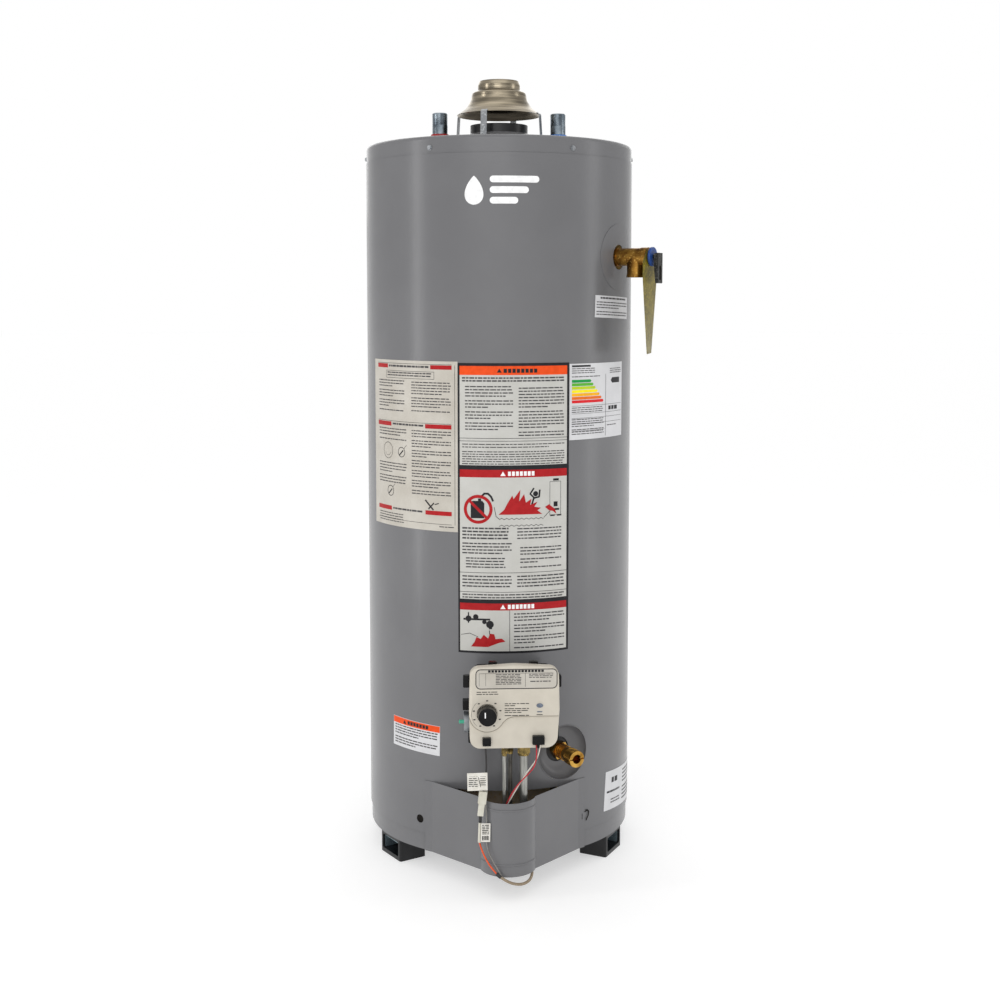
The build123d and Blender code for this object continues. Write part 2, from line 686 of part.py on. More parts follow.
with BuildPart() as control_cover:
    with BuildSketch(front(COVER_BACK)):
        add(control_outline.sketch_local)
    extrude(amount=COVER_FRONT - COVER_BACK)
    fillet(control_cover.faces().sort_by(Axis.Y)[0].edges(), 4)
    # The lower right part of the face lies back; its edge runs round the dial.
    with BuildSketch(front(COVER_FRONT)):
        with BuildLine():
            Line((CONTROL_X + 75, STEP_Z), (3, STEP_Z))
            lobe = CenterArc((KNOB_X, KNOB_Z), DIAL_R, -35, -145)
            Spline((3, STEP_Z), lobe @ 0, tangents=[(-1, 0), (-0.574, -0.819)])
            Polyline(
                lobe @ 1,
                (CONTROL_X - 75, KNOB_Z),
                (CONTROL_X - 75, COVER_BOTTOM - 5),
                (CONTROL_X + 75, COVER_BOTTOM - 5),
                (CONTROL_X + 75, STEP_Z),
            )
        make_face()
    extrude(amount=-RAISED, mode=Mode.SUBTRACT)
    with BuildSketch(front(COVER_BACK)):
        add(control_cavity.sketch_local)
    extrude(amount=COVER_FRONT - COVER_BACK - RAISED - 3, mode=Mode.SUBTRACT)
    # The well that the knob sinks into when it is pushed.
    with BuildSketch(front(COVER_FRONT - 11)):
        with Locations((KNOB_X, KNOB_Z)):
            Circle(KNOB_R + 4.5)
    extrude(amount=6)
    with BuildSketch(front(COVER_FRONT - 8)):
        with Locations((KNOB_X, KNOB_Z)):
            Circle(KNOB_R + 1.4)
    extrude(amount=10, mode=Mode.SUBTRACT)
    with BuildSketch(front(COVER_FRONT - 15)):
        with Locations((KNOB_X, KNOB_Z)):
            Circle(4.2)
        with Locations((BUTTON_X, BUTTON_Z)):
            Rectangle(13.6, 13.1)
    extrude(amount=20, mode=Mode.SUBTRACT)
keep(control_cover, "control_cover")

EAR_T = 9.0
FLANGE_T = 4.0
CASE_W = 125.0
CASE_H = 110.0
CASE_Z = 312.5
CASE_WALL = 2.5
# Snap ears round the case: centre x and z, width and height.
EARS = (
    (-25.5, 379.0, 14, 10),
    (38.5, 379.0, 14, 10),
    (-66.0, 353.0, 13, 19),
    (77.0, 352.0, 11, 19),
    (-60.5, 263.0, 8, 17),
    (74.5, 271.0, 8, 25),
)

with BuildPart() as control_rear_case:
    with BuildSketch(front(COVER_BACK - FLANGE_T)):
        add(control_cavity.sketch_local)
    extrude(amount=FLANGE_T - 0.2)
    for x, z, width, height in EARS:
        with BuildSketch(front(COVER_BACK - EAR_T)):
            with Locations((x, z)):
                RectangleRounded(width, height, 2)
        extrude(amount=EAR_T - 0.2)
    with BuildSketch(front(CASE_BACK)):
        with Locations((CONTROL_X, CASE_Z)):
            RectangleRounded(CASE_W, CASE_H, 10)
    extrude(amount=COVER_BACK - FLANGE_T - CASE_BACK)
    with BuildSketch(front(CASE_BACK + 3)):
        with Locations((CONTROL_X, CASE_Z)):
            RectangleRounded(CASE_W - 2 * CASE_WALL, CASE_H - 2 * CASE_WALL, 7.5)
    extrude(amount=COVER_BACK - CASE_BACK, mode=Mode.SUBTRACT)
    with BuildSketch(front(CASE_BACK)):
        with Locations((CONTROL_X, CONTROL_Z)):
            Circle(16)
    extrude(amount=5, mode=Mode.SUBTRACT)
    with BuildSketch(Plane(origin=(-75, INLET_Y, INLET_Z), x_dir=(0, 1, 0), z_dir=(1, 0, 0))):
        Circle(INLET_R + 0.5)
    extrude(amount=25, mode=Mode.SUBTRACT)
    with BuildSketch(Plane.XY.offset(240)):
        with Locations((PILOT_X, PILOT_Y), (CONDUIT_X, CONDUIT_Y)):
            Circle(PORT_BOSS_R + 0.4)
        with Locations((BURNER_TUBE_X, BURNER_TUBE_Y)):
            Circle(BURNER_BOSS_R + 0.4)
    extrude(amount=24, mode=Mode.SUBTRACT)
keep(control_rear_case, "control_rear_case")

with BuildPart() as control_body:
    with BuildSketch(front(CASE_BACK + 3.2)):
        with Locations((CONTROL_X, 300)):
            RectangleRounded(108, 76, 5)
    extrude(amount=48)
    with BuildSketch(Plane(origin=(INLET_END, INLET_Y, INLET_Z), x_dir=(0, 1, 0), z_dir=(1, 0, 0))):
        Circle(INLET_R)
    extrude(amount=30)
    with BuildSketch(Plane.XY.offset(BOSS_BOTTOM)):
        with Locations((PILOT_X, PILOT_Y), (CONDUIT_X, CONDUIT_Y)):
            Circle(PORT_BOSS_R)
        with Locations((BURNER_TUBE_X, BURNER_TUBE_Y)):
            Circle(BURNER_BOSS_R)
    extrude(amount=20)
    with BuildSketch(front(206)):
        with Locations((CONTROL_X, CONTROL_Z)):
            Circle(NIPPLE_R)
    extrude(amount=12)
    with BuildSketch(front(218)):
        with Locations((CONTROL_X, CONTROL_Z)):
            RegularPolygon(radius=15.5, side_count=6)
    extrude(amount=CASE_BACK + 4 - 218)
    # Ports for the gas supply, the knob's shaft and the tubes.
    with BuildSketch(Plane(origin=(INLET_END, INLET_Y, INLET_Z), x_dir=(0, 1, 0), z_dir=(1, 0, 0))):
        Circle(INLET_BORE)
    extrude(amount=34, mode=Mode.SUBTRACT)
    with BuildSketch(front(262)):
        with Locations((KNOB_X, KNOB_Z)):
            Circle(4 + RUNNING)
    extrude(amount=40, mode=Mode.SUBTRACT)
    with BuildSketch(Plane.XY.offset(BOSS_BOTTOM)):
        with Locations((BURNER_TUBE_X, BURNER_TUBE_Y)):
            Circle(6.5)
        with Locations((PILOT_X, PILOT_Y), (CONDUIT_X, CONDUIT_Y)):
            Circle(3.7)
    extrude(amount=18, mode=Mode.SUBTRACT)
keep(control_body, "control_body")

with BuildPart() as thermowell:
    with BuildSketch(front(90)):
        with Locations((CONTROL_X, CONTROL_Z)):
            Circle(6)
    extrude(amount=115.8)
keep(thermowell, "thermowell")

with BuildPart() as knob_shaft:
    with BuildSketch(front(272)):
        with Locations((KNOB_X, KNOB_Z)):
            Circle(4)
    extrude(amount=COVER_FRONT + 2 - 272)
    with BuildSketch(front(COVER_FRONT + 2)):
        with Locations((KNOB_X, KNOB_Z)):
            Circle(3)
    extrude(amount=9)
keep(knob_shaft, "knob_shaft")

with BuildPart() as knob:
    with BuildSketch(front(COVER_FRONT + 2.2)):
        with Locations((KNOB_X, KNOB_Z)):
            Circle(KNOB_R)
    extrude(amount=KNOB_FRONT - COVER_FRONT - 2.2, taper=3)
    fillet(knob.faces().sort_by(Axis.Y)[0].edges(), 1.6)
    # Grip flutes round the rim.
    with BuildSketch(front(COVER_FRONT + 6)):
        with Locations((KNOB_X, KNOB_Z)):
            with PolarLocations(KNOB_R + 0.6, 24):
                Circle(1.1)
    extrude(amount=20, mode=Mode.SUBTRACT)
    with BuildSketch(front(COVER_FRONT)):
        with Locations((KNOB_X, KNOB_Z)):
            Circle(3 + RUNNING)
    extrude(amount=12, mode=Mode.SUBTRACT)
keep(knob, "knob")

with BuildPart() as igniter_button:
    with BuildSketch(front(COVER_FRONT - 9.5)):
        with Locations((BUTTON_X, BUTTON_Z)):
            RectangleRounded(13.0, 12.5, 1)
    extrude(amount=13)
    with BuildSketch(front(COVER_FRONT + 3.5)):
        with Locations((BUTTON_X, BUTTON_Z)):
            RectangleRounded(8.0, 7.5, 1)
    extrude(amount=-0.6, mode=Mode.SUBTRACT)
keep(igniter_button, "igniter_button")

with BuildPart() as status_lens:
    with BuildSketch(front(COVER_FRONT)):
        with Locations((47, 318)):
            Ellipse(5.2, 3.4)
    extrude(amount=1.2)
    with BuildSketch(front(COVER_FRONT)):
        with Locations((47, 308)):
            RectangleRounded(8, 1.6, 0.7)
    extrude(amount=0.5)
keep(status_lens, "status_lens")

with BuildPart() as thermopile_plug:
    with BuildSketch(front(COVER_FRONT - RAISED)):
        with Locations((PLUG_X, PLUG_Z)):
            RectangleRounded(19, 14, 1.5)
    extrude(amount=7)
    with BuildSketch(front(COVER_FRONT - RAISED)):
        with Locations((PLUG_X - 0.3, PLUG_Z - 9.5)):
            RectangleRounded(3.8, 7, 1.5)
    extrude(amount=5)
keep(thermopile_plug, "thermopile_plug")

with BuildPart() as control_side_plug:
    with BuildSketch(front(270)):
        with Locations((-64.0, 312.0)):
            RectangleRounded(17.6, 14.5, 1.5)
    extrude(amount=18)
keep(control_side_plug, "control_side_plug")

with BuildPart() as pressure_tap_cap:
    tap = Plane(origin=(INLET_END, INLET_Y - 12.3, INLET_Z + 4), x_dir=(0, 1, 0), z_dir=(-1, 0, 0))
    with BuildSketch(tap):
        Circle(2.9)
    extrude(amount=8)
    fillet(pressure_tap_cap.faces().sort_by(Axis.X)[0].edges(), 1.0)
keep(pressure_tap_cap, "pressure_tap_cap")

# ---- tubes below the control --------------------------------------------------------------------
TUBE_TOP = 262.0
burner_tube = rod(
    [
        (BURNER_TUBE_X, BURNER_TUBE_Y, TUBE_TOP),
        (BURNER_TUBE_X, BURNER_TUBE_Y, 104),
        (BURNER_TUBE_X, -152, 104),
    ],
    6.35,
    [26],
    bore=5.4,
)
keep(burner_tube, "burner_tube")

pilot_tube = rod(
    [(PILOT_X, PILOT_Y, TUBE_TOP), (PILOT_X, PILOT_Y, 118), (PILOT_X, -104, 118)], 3.18, [20], bore=2.4
)
keep(pilot_tube, "pilot_tube")

igniter_conduit = rod(
    [(CONDUIT_X, CONDUIT_Y, TUBE_TOP), (CONDUIT_X, CONDUIT_Y, 100), (CONDUIT_X, -104, 100)], 3.5, [20]
)
keep(igniter_conduit, "igniter_conduit")

TUBE_NUTS = (
    (BURNER_TUBE_X, BURNER_TUBE_Y, 11.3, 6.35),
    (PILOT_X, PILOT_Y, 5.4, 3.18),
    (CONDUIT_X, CONDUIT_Y, 5.4, 3.5),
)

with BuildPart() as tube_nuts:
    for x, y, across, tube_r in TUBE_NUTS:
        with BuildSketch(on_axis(x, y, BOSS_BOTTOM - 14)):
            RegularPolygon(radius=across, side_count=6, rotation=30)
            Circle(tube_r + RUNNING, mode=Mode.SUBTRACT)
        extrude(amount=13.9)
        with BuildSketch(on_axis(x, y, BOSS_BOTTOM - 18)):
            Circle(across * 0.8)
            Circle(tube_r + RUNNING, mode=Mode.SUBTRACT)
        extrude(amount=4)
keep(tube_nuts, "tube_nuts")

# ---- burner and combustion chamber --------------------------------------------------------------
with BuildPart() as burner:
    with BuildSketch(Plane.XY.offset(112)):
        Circle(78)
    extrude(amount=16)
    with BuildSketch(Plane.XY.offset(113.5)):
        Circle(76.5)
    extrude(amount=13, mode=Mode.SUBTRACT)
    with BuildSketch(Plane.XY.offset(120)):
        with PolarLocations(60, 24):
            Rectangle(18, 3)
        with PolarLocations(32, 12):
            Rectangle(18, 3)
    extrude(amount=10, mode=Mode.SUBTRACT)
    # The mixing tube comes in from the front, under the pan, and turns up into it.
    with BuildSketch(Plane(origin=(BURNER_TUBE_X, 16, 98), x_dir=(1, 0, 0), z_dir=(0, -1, 0))):
        Circle(12.8)
    extrude(amount=162)
    with BuildSketch(Plane(origin=(BURNER_TUBE_X, 0, 98))):
        Circle(11.4)
    extrude(amount=15)
    with BuildSketch(Plane(origin=(BURNER_TUBE_X, 14, 98), x_dir=(1, 0, 0), z_dir=(0, -1, 0))):
        Circle(11.3)
    extrude(amount=170, mode=Mode.SUBTRACT)
    with BuildSketch(Plane(origin=(BURNER_TUBE_X, 0, 98))):
        Circle(9.9)
    extrude(amount=17, mode=Mode.SUBTRACT)
keep(burner, "burner")

with BuildPart() as pilot_assembly:
    with BuildSketch(Plane.XY.offset(88)):
        with Locations((-1.5, -98)):
            Rectangle(26, 11)
    extrude(amount=38)
    with BuildSketch(Plane.XY.offset(126)):
        with Locations((PILOT_X, -98)):
            Circle(4)
        with Locations((CONDUIT_X, -98)):
            Circle(1.5)
    extrude(amount=14)
keep(pilot_assembly, "pilot_assembly")

MANIFOLD_BOTTOM = 74.5
MANIFOLD_TOP = 157.0
MANIFOLD_HALF = 74.0

for node, inner_r, outer_r in (
    ("manifold_gasket", TANK_R + 0.1, TANK_R + 2.1),
    ("manifold_door", TANK_R + 2.2, TANK_R + 3.7),
):
    with BuildPart() as plate:
        with BuildSketch(front(150)):
            with Locations((0, (MANIFOLD_BOTTOM + MANIFOLD_TOP) / 2)):
                Rectangle(2 * MANIFOLD_HALF, MANIFOLD_TOP - MANIFOLD_BOTTOM)
        extrude(amount=90)
        with BuildSketch(Plane.XY.offset(60)):
            Circle(outer_r)
            Circle(inner_r, mode=Mode.SUBTRACT)
        extrude(amount=120, mode=Mode.INTERSECT)
        with BuildSketch(front(150)):
            with Locations((BURNER_TUBE_X, 104)):
                Circle(6.6)
            with Locations((PILOT_X, 118)):
                Circle(3.4)
            with Locations((CONDUIT_X, 100)):
                Circle(3.7)
        extrude(amount=90, mode=Mode.SUBTRACT)
        for angle in (DOOR_SCREW_ANGLE, -DOOR_SCREW_ANGLE):
            for height in DOOR_SCREW_HEIGHTS:
                with BuildSketch(outward(angle, 150, height)):
                    Circle(2.4)
                extrude(amount=70, mode=Mode.SUBTRACT)
    keep(plate, node)

with BuildPart() as manifold_door_screws:
    for angle in (DOOR_SCREW_ANGLE, -DOOR_SCREW_ANGLE):
        for height in DOOR_SCREW_HEIGHTS:
            with BuildSketch(outward(angle, 198, height)):
                Circle(2.2)
            extrude(amount=TANK_R + 4 - 198)
            with BuildSketch(outward(angle, TANK_R + 4, height)):
                RegularPolygon(radius=5, side_count=6)
            extrude(amount=3)
keep(manifold_door_screws, "manifold_door_screws")

with BuildPart() as flame_arrestor:
    with BuildSketch(Plane.XY.offset(TANK_BOTTOM + 0.2)):
        Circle(92)
        with GridLocations(13, 13, 9, 9):
            Circle(4.2, mode=Mode.SUBTRACT)
    extrude(amount=4)
keep(flame_arrestor, "flame_arrestor")

with BuildPart() as chamber_blanket:
    with BuildSketch(Plane.XY.offset(PAN_LIP + 2)):
        Circle(JACKET_R - SHEET - 1)
        Circle(TANK_R + 1, mode=Mode.SUBTRACT)
    extrude(amount=FLOOR_EDGE - PAN_LIP - 6)
    with BuildSketch(front(150)):
        with Locations((0, 120)):
            Rectangle(2 * DOORWAY_HALF, 110)
    extrude(amount=120, mode=Mode.SUBTRACT)
    with BuildSketch(outward(DRAIN_ANGLE, 150, DRAIN_Z)):
        Circle(DISH_R + 2)
    extrude(amount=100, mode=Mode.SUBTRACT)
keep(chamber_blanket, "chamber_blanket")

# ---- outer door ---------------------------------------------------------------------------------
DOOR_R = JACKET_R + GAP
SEAM_X = DOOR_R * sin(radians(DOOR_ANGLE))
SEAM_Y = -DOOR_R * cos(radians(DOOR_ANGLE))
BUMP_JOIN_Y = BUMP_Y - (BUMP_R**2 - BUMP_HALF**2) ** 0.5
FLANGE_ANGLE = 35.4

with BuildPart() as outer_door:
    with BuildSketch(Plane.XY.offset(PAN_BOTTOM)):
        with BuildLine():
            turn = radians(FLANGE_ANGLE)
            middle = radians((FLANGE_ANGLE + DOOR_ANGLE) / 2)
            ThreePointArc(
                (-DOOR_R * sin(turn), -DOOR_R * cos(turn)),
                (-DOOR_R * sin(middle), -DOOR_R * cos(middle)),
                (-SEAM_X, SEAM_Y),
            )
            Line((-SEAM_X, SEAM_Y), (-BUMP_HALF, BUMP_JOIN_Y))
            ThreePointArc(
                (-BUMP_HALF, BUMP_JOIN_Y), (0, BUMP_Y - BUMP_R + SHEET), (BUMP_HALF, BUMP_JOIN_Y)
            )
            Line((BUMP_HALF, BUMP_JOIN_Y), (SEAM_X, SEAM_Y))
            ThreePointArc(
                (SEAM_X, SEAM_Y),
                (DOOR_R * sin(middle), -DOOR_R * cos(middle)),
                (DOOR_R * sin(turn), -DOOR_R * cos(turn)),
            )
            offset(amount=SHEET, side=Side.RIGHT)
        make_face()
    extrude(amount=DOOR_TOP - PAN_BOTTOM)
    # Two rolled beads round the bump.
    for height in (57.5, 146.0):
        with BuildSketch(Plane(origin=(0, BUMP_Y, height), x_dir=(0, -1, 0), z_dir=(1, 0, 0))):
            with Locations((BUMP_R - 0.2, 0)):
                Circle(1.7)
        revolve(axis=Axis((0, BUMP_Y, height), (0, 0, 1)), revolution_arc=74)
        with BuildSketch(Plane(origin=(0, BUMP_Y, height), x_dir=(0, -1, 0), z_dir=(1, 0, 0))):
            with Locations((BUMP_R - 0.2, 0)):
                Circle(1.7)
        revolve(axis=Axis((0, BUMP_Y, height), (0, 0, -1)), revolution_arc=74)
    with BuildSketch(outward(DOOR_ANGLE + 2, 200, 92)):
        SlotOverall(10, 2.5, rotation=90)
    extrude(amount=60, mode=Mode.SUBTRACT)
keep(outer_door, "outer_door")

# ---- feet ---------------------------------------------------------------------------------------
FOOT_DEPTH = FOOT_OUT - FOOT_IN
FOOT_WALL = 7.0

with BuildPart() as feet:
    for angle in FOOT_ANGLES:
        with BuildSketch(outward(angle, FOOT_IN, PAN_BOTTOM / 2)):
            Rectangle(FOOT_W, PAN_BOTTOM)
        extrude(amount=FOOT_DEPTH)
    fillet(feet.edges().filter_by(Axis.Z), 4)
    for angle in FOOT_ANGLES:
        with BuildSketch(outward(angle, FOOT_IN + FOOT_WALL, PAN_BOTTOM / 2)):
            RectangleRounded(FOOT_W - 2 * FOOT_WALL, PAN_BOTTOM - 2 * FOOT_WALL, 3)
        extrude(amount=FOOT_DEPTH, mode=Mode.SUBTRACT)
keep(feet, "feet")

with BuildPart() as foot_brackets:
    for angle in FOOT_ANGLES:
        with BuildSketch(outward(angle, FOOT_IN + FOOT_WALL, PAN_BOTTOM / 2)):
            RectangleRounded(FOOT_W - 2 * FOOT_WALL - 1, PAN_BOTTOM - 2 * FOOT_WALL - 0.6, 3.2)
            with Locations((0, -4)):
                Rectangle(FOOT_W - 2 * FOOT_WALL - 5, PAN_BOTTOM - 2 * FOOT_WALL, mode=Mode.SUBTRACT)
        extrude(amount=FOOT_DEPTH - FOOT_WALL - 4)
        with BuildSketch(outward(angle, FOOT_IN + FOOT_WALL, PAN_BOTTOM / 2 - 1)):
            Rectangle(FOOT_W - 2 * FOOT_WALL - 5, PAN_BOTTOM - 2 * FOOT_WALL - 4)
        extrude(amount=1.6)
keep(foot_brackets, "foot_brackets")

# ---- drain valve --------------------------------------------------------------------------------
NOZZLE_START = 240.0
NOZZLE_BORE = 7.5

with BuildPart() as drain_dish:
    out = outward(DRAIN_ANGLE, 0, DRAIN_Z)
    with BuildSketch(Plane(origin=out.origin, x_dir=out.z_dir, z_dir=out.x_dir)):
        with BuildLine():
            Line((240, DISH_R), (220, DISH_R))
            ThreePointArc((220, DISH_R), (208.6, 36.5), (205.5, 21))
            Line((205.5, 21), (206.5, 21))
            ThreePointArc((206.5, 21), (209.6, 36), (220.5, DISH_R - 1))
            Polyline((220.5, DISH_R - 1), (240, DISH_R - 1), (240, DISH_R))
        make_face()
    revolve(axis=Axis(out.origin, out.z_dir))
    with BuildSketch(Plane.XY.offset(DRAIN_Z - 60)):
        Circle(JACKET_R + 0.4)
    extrude(amount=120, mode=Mode.INTERSECT)
keep(drain_dish, "drain_dish")

with BuildPart() as drain_body:
    with BuildSketch(outward(DRAIN_ANGLE, 197, DRAIN_Z)):
        Circle(NIPPLE_R)
    extrude(amount=11)
    with BuildSketch(outward(DRAIN_ANGLE, 208, DRAIN_Z)):
        RegularPolygon(radius=15.5, side_count=6)
    extrude(amount=12)
    with BuildSketch(outward(DRAIN_ANGLE, 220, DRAIN_Z)):
        Circle(11.8)
    extrude(amount=NOZZLE_START - 0.4 - 220)
    for ring in range(3):
        with BuildSketch(outward(DRAIN_ANGLE, 223 + 5.5 * ring, DRAIN_Z)):
            Circle(12.8)
        extrude(amount=2.2)
    with BuildSketch(outward(DRAIN_ANGLE, 190, DRAIN_Z)):
        Circle(8.6)
    extrude(amount=60, mode=Mode.SUBTRACT)
keep(drain_body, "drain_body")

with BuildPart() as drain_nozzle:
    with BuildSketch(outward(DRAIN_ANGLE, NOZZLE_START - 14, DRAIN_Z)):
        Circle(8.6 - RUNNING)
    extrude(amount=16)
    with BuildSketch(outward(DRAIN_ANGLE, NOZZLE_START, DRAIN_Z)):
        Circle(12)
    extrude(amount=10)
    with BuildSketch(outward(DRAIN_ANGLE, NOZZLE_START + 8, DRAIN_Z)):
        Circle(DRAIN_THREAD_R)
    extrude(amount=DRAIN_END - NOZZLE_START - 8)
    with BuildSketch(outward(DRAIN_ANGLE, NOZZLE_START - 6, DRAIN_Z)):
        Circle(NOZZLE_BORE)
    extrude(amount=50, mode=Mode.SUBTRACT)
    # The driver slot across the end face that opens the valve.
    with BuildSketch(outward(DRAIN_ANGLE, DRAIN_END - 3, DRAIN_Z)):
        Rectangle(40, 2.6)
    extrude(amount=10, mode=Mode.SUBTRACT)
keep(drain_nozzle, "drain_nozzle")

# ---- leads --------------------------------------------------------------------------------------
# The spark lead hangs from the button to an in-line connector; from there an orange lead and a thin
# grey one run down round the door to the loop that goes back in under it.
cord(
    [
        (-37.8, -300.0, COVER_BOTTOM),
        (-36.2, -299.6, 228.0),
        (-36.3, -298.8, 208.0),
        (-38.3, -297.2, 190.5),
        (-40.8, -296.4, 176.0),
    ],
    3.2,
    "spark_lead",
)

CONNECTOR_TOP = Vector(-40.8, -296.4, 176.0)
CONNECTOR_RUN = Vector(-4.8, 1.8, -40.0)
SLEEVE_RUN = Vector(-1.6, 0, -44.0)
SLEEVE_TOP = CONNECTOR_TOP + CONNECTOR_RUN

with BuildPart() as lead_connector:
    with BuildSketch(Plane(origin=CONNECTOR_TOP, x_dir=(1, 0, -0.12), z_dir=CONNECTOR_RUN)):
        RectangleRounded(13, 9, 1.2)
    extrude(amount=20)
    with BuildSketch(Plane(origin=CONNECTOR_TOP, x_dir=(1, 0, -0.12), z_dir=CONNECTOR_RUN).offset(20)):
        RectangleRounded(9.6, 7.6, 1.2)
    extrude(amount=CONNECTOR_RUN.length - 20)
    with BuildSketch(Plane(origin=SLEEVE_TOP, x_dir=(1, 0, -0.04), z_dir=SLEEVE_RUN)):
        Circle(2.0)
    extrude(amount=12)
    with BuildSketch(Plane(origin=SLEEVE_TOP, x_dir=(1, 0, -0.04), z_dir=SLEEVE_RUN).offset(12)):
        Circle(2.5)
    extrude(amount=SLEEVE_RUN.length - 12)
keep(lead_connector, "lead_connector")

cord(
    [
        (-47.2, -294.6, 92.0),
        (-43.8, -294.9, 80.0),
        (-37.4, -297.6, 66.0),
        (-29.4, -303.9, 54.0),
        (-19.0, -311.0, 44.3),
    ],
    2.6,
    "orange_lead",
)
cord(
    [
        (-37.4, -297.6, 155.6),
        (-36.2, -297.8, 141.0),
        (-35.8, -297.2, 125.0),
        (-37.4, -296.8, 108.0),
        (-36.6, -298.0, 92.0),
        (-32.6, -301.8, 77.0),
        (-26.0, -306.6, 64.5),
        (-19.0, -310.4, 53.5),
        (-13.2, -311.8, 43.4),
    ],
    1.8,
    "grey_lead",
)
cord(
    [
        (-19.0, -311.0, 44.3),
        (-8.5, -313.0, 36.6),
        (5.0, -311.8, 29.6),
        (18.5, -307.0, 26.0),
        (30.0, -298.0, 26.4),
        (36.8, -287.6, 30.2),
        (38.6, -278.4, 38.2),
        (37.6, -268.6, 50.0),
        (35.2, -256.0, 62.0),
        (32.6, -241.0, 73.0),
        (30.8, -224.0, 81.5),
        (30.0, -204.8, 86.0),
    ],
    4.6,
    "loop_cable",
)
cord(
    [
        (41.4, -314.0, 256.0),
        (42.6, -312.0, 242.0),
        (42.0, -308.0, 228.0),
        (38.2, -304.6, 214.5),
        (28.0, -301.6, 202.3),
        (15.6, -299.8, 189.0),
        (5.4, -298.6, 174.5),
        (-1.2, -297.4, 161.0),
        (-6.4, -293.4, 147.5),
        (-15.0, -287.0, 136.4),
        (-20.4, -273.0, 127.5),
        (-21.6, -254.5, 121.5),
        (-20.8, -231.5, 118.6),
        (-20.0, -206.0, 117.6),
    ],
    2.0,
    "thermopile_wire_red",
)
cord(
    [
        (48.0, -314.0, 256.0),
        (46.8, -310.2, 243.0),
        (42.8, -305.0, 228.6),
        (34.4, -300.0, 214.8),
        (25.8, -297.4, 202.0),
        (17.8, -296.0, 188.5),
        (9.4, -295.2, 174.5),
        (2.4, -293.8, 161.0),
        (-3.4, -290.6, 148.8),
        (-11.4, -284.6, 139.4),
        (-15.8, -270.5, 131.5),
        (-16.8, -252.0, 125.4),
        (-16.6, -230.0, 122.6),
        (-16.0, -206.4, 122.0),
    ],
    2.0,
    "thermopile_wire_white",
)

with BuildPart() as lead_tags:
    with BuildSketch(Plane(origin=(-50.4, -299.4, 192.4), x_dir=(1, 0, 0.02), z_dir=(0, -0.996, -0.09))):
        Rectangle(32, 29.6)
    extrude(amount=0.4)
    with BuildSketch(Plane(origin=(-37.5, -299.2, 109.3), x_dir=(1, 0, -0.02), z_dir=(0, -1, 0.02))):
        Rectangle(15, 30)
    extrude(amount=0.4)
keep(lead_tags, "lead_tags")
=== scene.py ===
"""Looks of a short floor-standing gas water heater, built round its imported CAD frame.

Metres, +Z up, floor at z = 0, front of the heater at -Y. Places on the jacket are given in
millimetres as (s, z): s runs round the jacket from its front, positive towards +X, and z is height.
"""
import json
import random
from math import cos, pi, radians, sin

import bmesh
import bpy
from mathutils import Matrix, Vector


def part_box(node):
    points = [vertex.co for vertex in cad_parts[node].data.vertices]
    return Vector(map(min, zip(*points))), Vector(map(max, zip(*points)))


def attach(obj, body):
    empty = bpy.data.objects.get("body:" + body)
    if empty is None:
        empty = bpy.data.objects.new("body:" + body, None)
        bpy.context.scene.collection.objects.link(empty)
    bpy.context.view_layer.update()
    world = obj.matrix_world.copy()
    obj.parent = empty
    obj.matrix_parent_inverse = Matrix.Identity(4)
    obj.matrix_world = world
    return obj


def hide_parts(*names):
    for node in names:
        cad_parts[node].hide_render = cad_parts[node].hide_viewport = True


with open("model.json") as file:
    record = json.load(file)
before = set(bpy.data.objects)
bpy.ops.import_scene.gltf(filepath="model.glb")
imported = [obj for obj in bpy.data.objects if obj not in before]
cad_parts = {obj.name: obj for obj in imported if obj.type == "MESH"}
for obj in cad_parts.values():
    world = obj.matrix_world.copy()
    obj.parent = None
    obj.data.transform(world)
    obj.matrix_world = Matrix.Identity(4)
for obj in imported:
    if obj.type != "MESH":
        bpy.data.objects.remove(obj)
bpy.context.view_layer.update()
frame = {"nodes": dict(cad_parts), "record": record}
NODES = frame["nodes"]
MM = 0.001
JACKET_R = 228.6  # over the paint, mm

# The tank's axis, which the part is laid out about, is the flue's.
low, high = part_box("flue_tube")
AXIS_X, AXIS_Y = (low.x + high.x) / 2, (low.y + high.y) / 2


def place(x, y, z):
    """A point in metres, from millimetres about the tank's axis."""
    return Vector((AXIS_X + x * MM, AXIS_Y + y * MM, z * MM))


def polar(angle, r, z):
    """A point at an angle round the axis, in degrees from the front towards +X."""
    return place(r * sin(radians(angle)), -r * cos(radians(angle)), z)


# ---- camera, floor and light ----------------------------------------------------------------------
CAMERA_TURN, CAMERA_DOWN = 3.1, 5.196  # degrees round the heater and downward
CAMERA_FAR, CAMERA_HIGH = 2500.0, 950.0
FOCAL, SENSOR = 51.48, 36.0
SHIFT_X, SHIFT_Y = 0.001, -0.07
camera = bpy.data.objects.new("camera", bpy.data.cameras.new("camera"))
bpy.context.scene.collection.objects.link(camera)
camera.location = polar(-CAMERA_TURN, CAMERA_FAR, CAMERA_HIGH)
camera.rotation_euler = (radians(90 - CAMERA_DOWN), 0, radians(-CAMERA_TURN))
camera.data.lens, camera.data.sensor_width = FOCAL, SENSOR
camera.data.shift_x, camera.data.shift_y = SHIFT_X, SHIFT_Y
bpy.context.scene.camera = camera


LIGHT_AIM = 600.0  # height on the tank's axis that every light points at


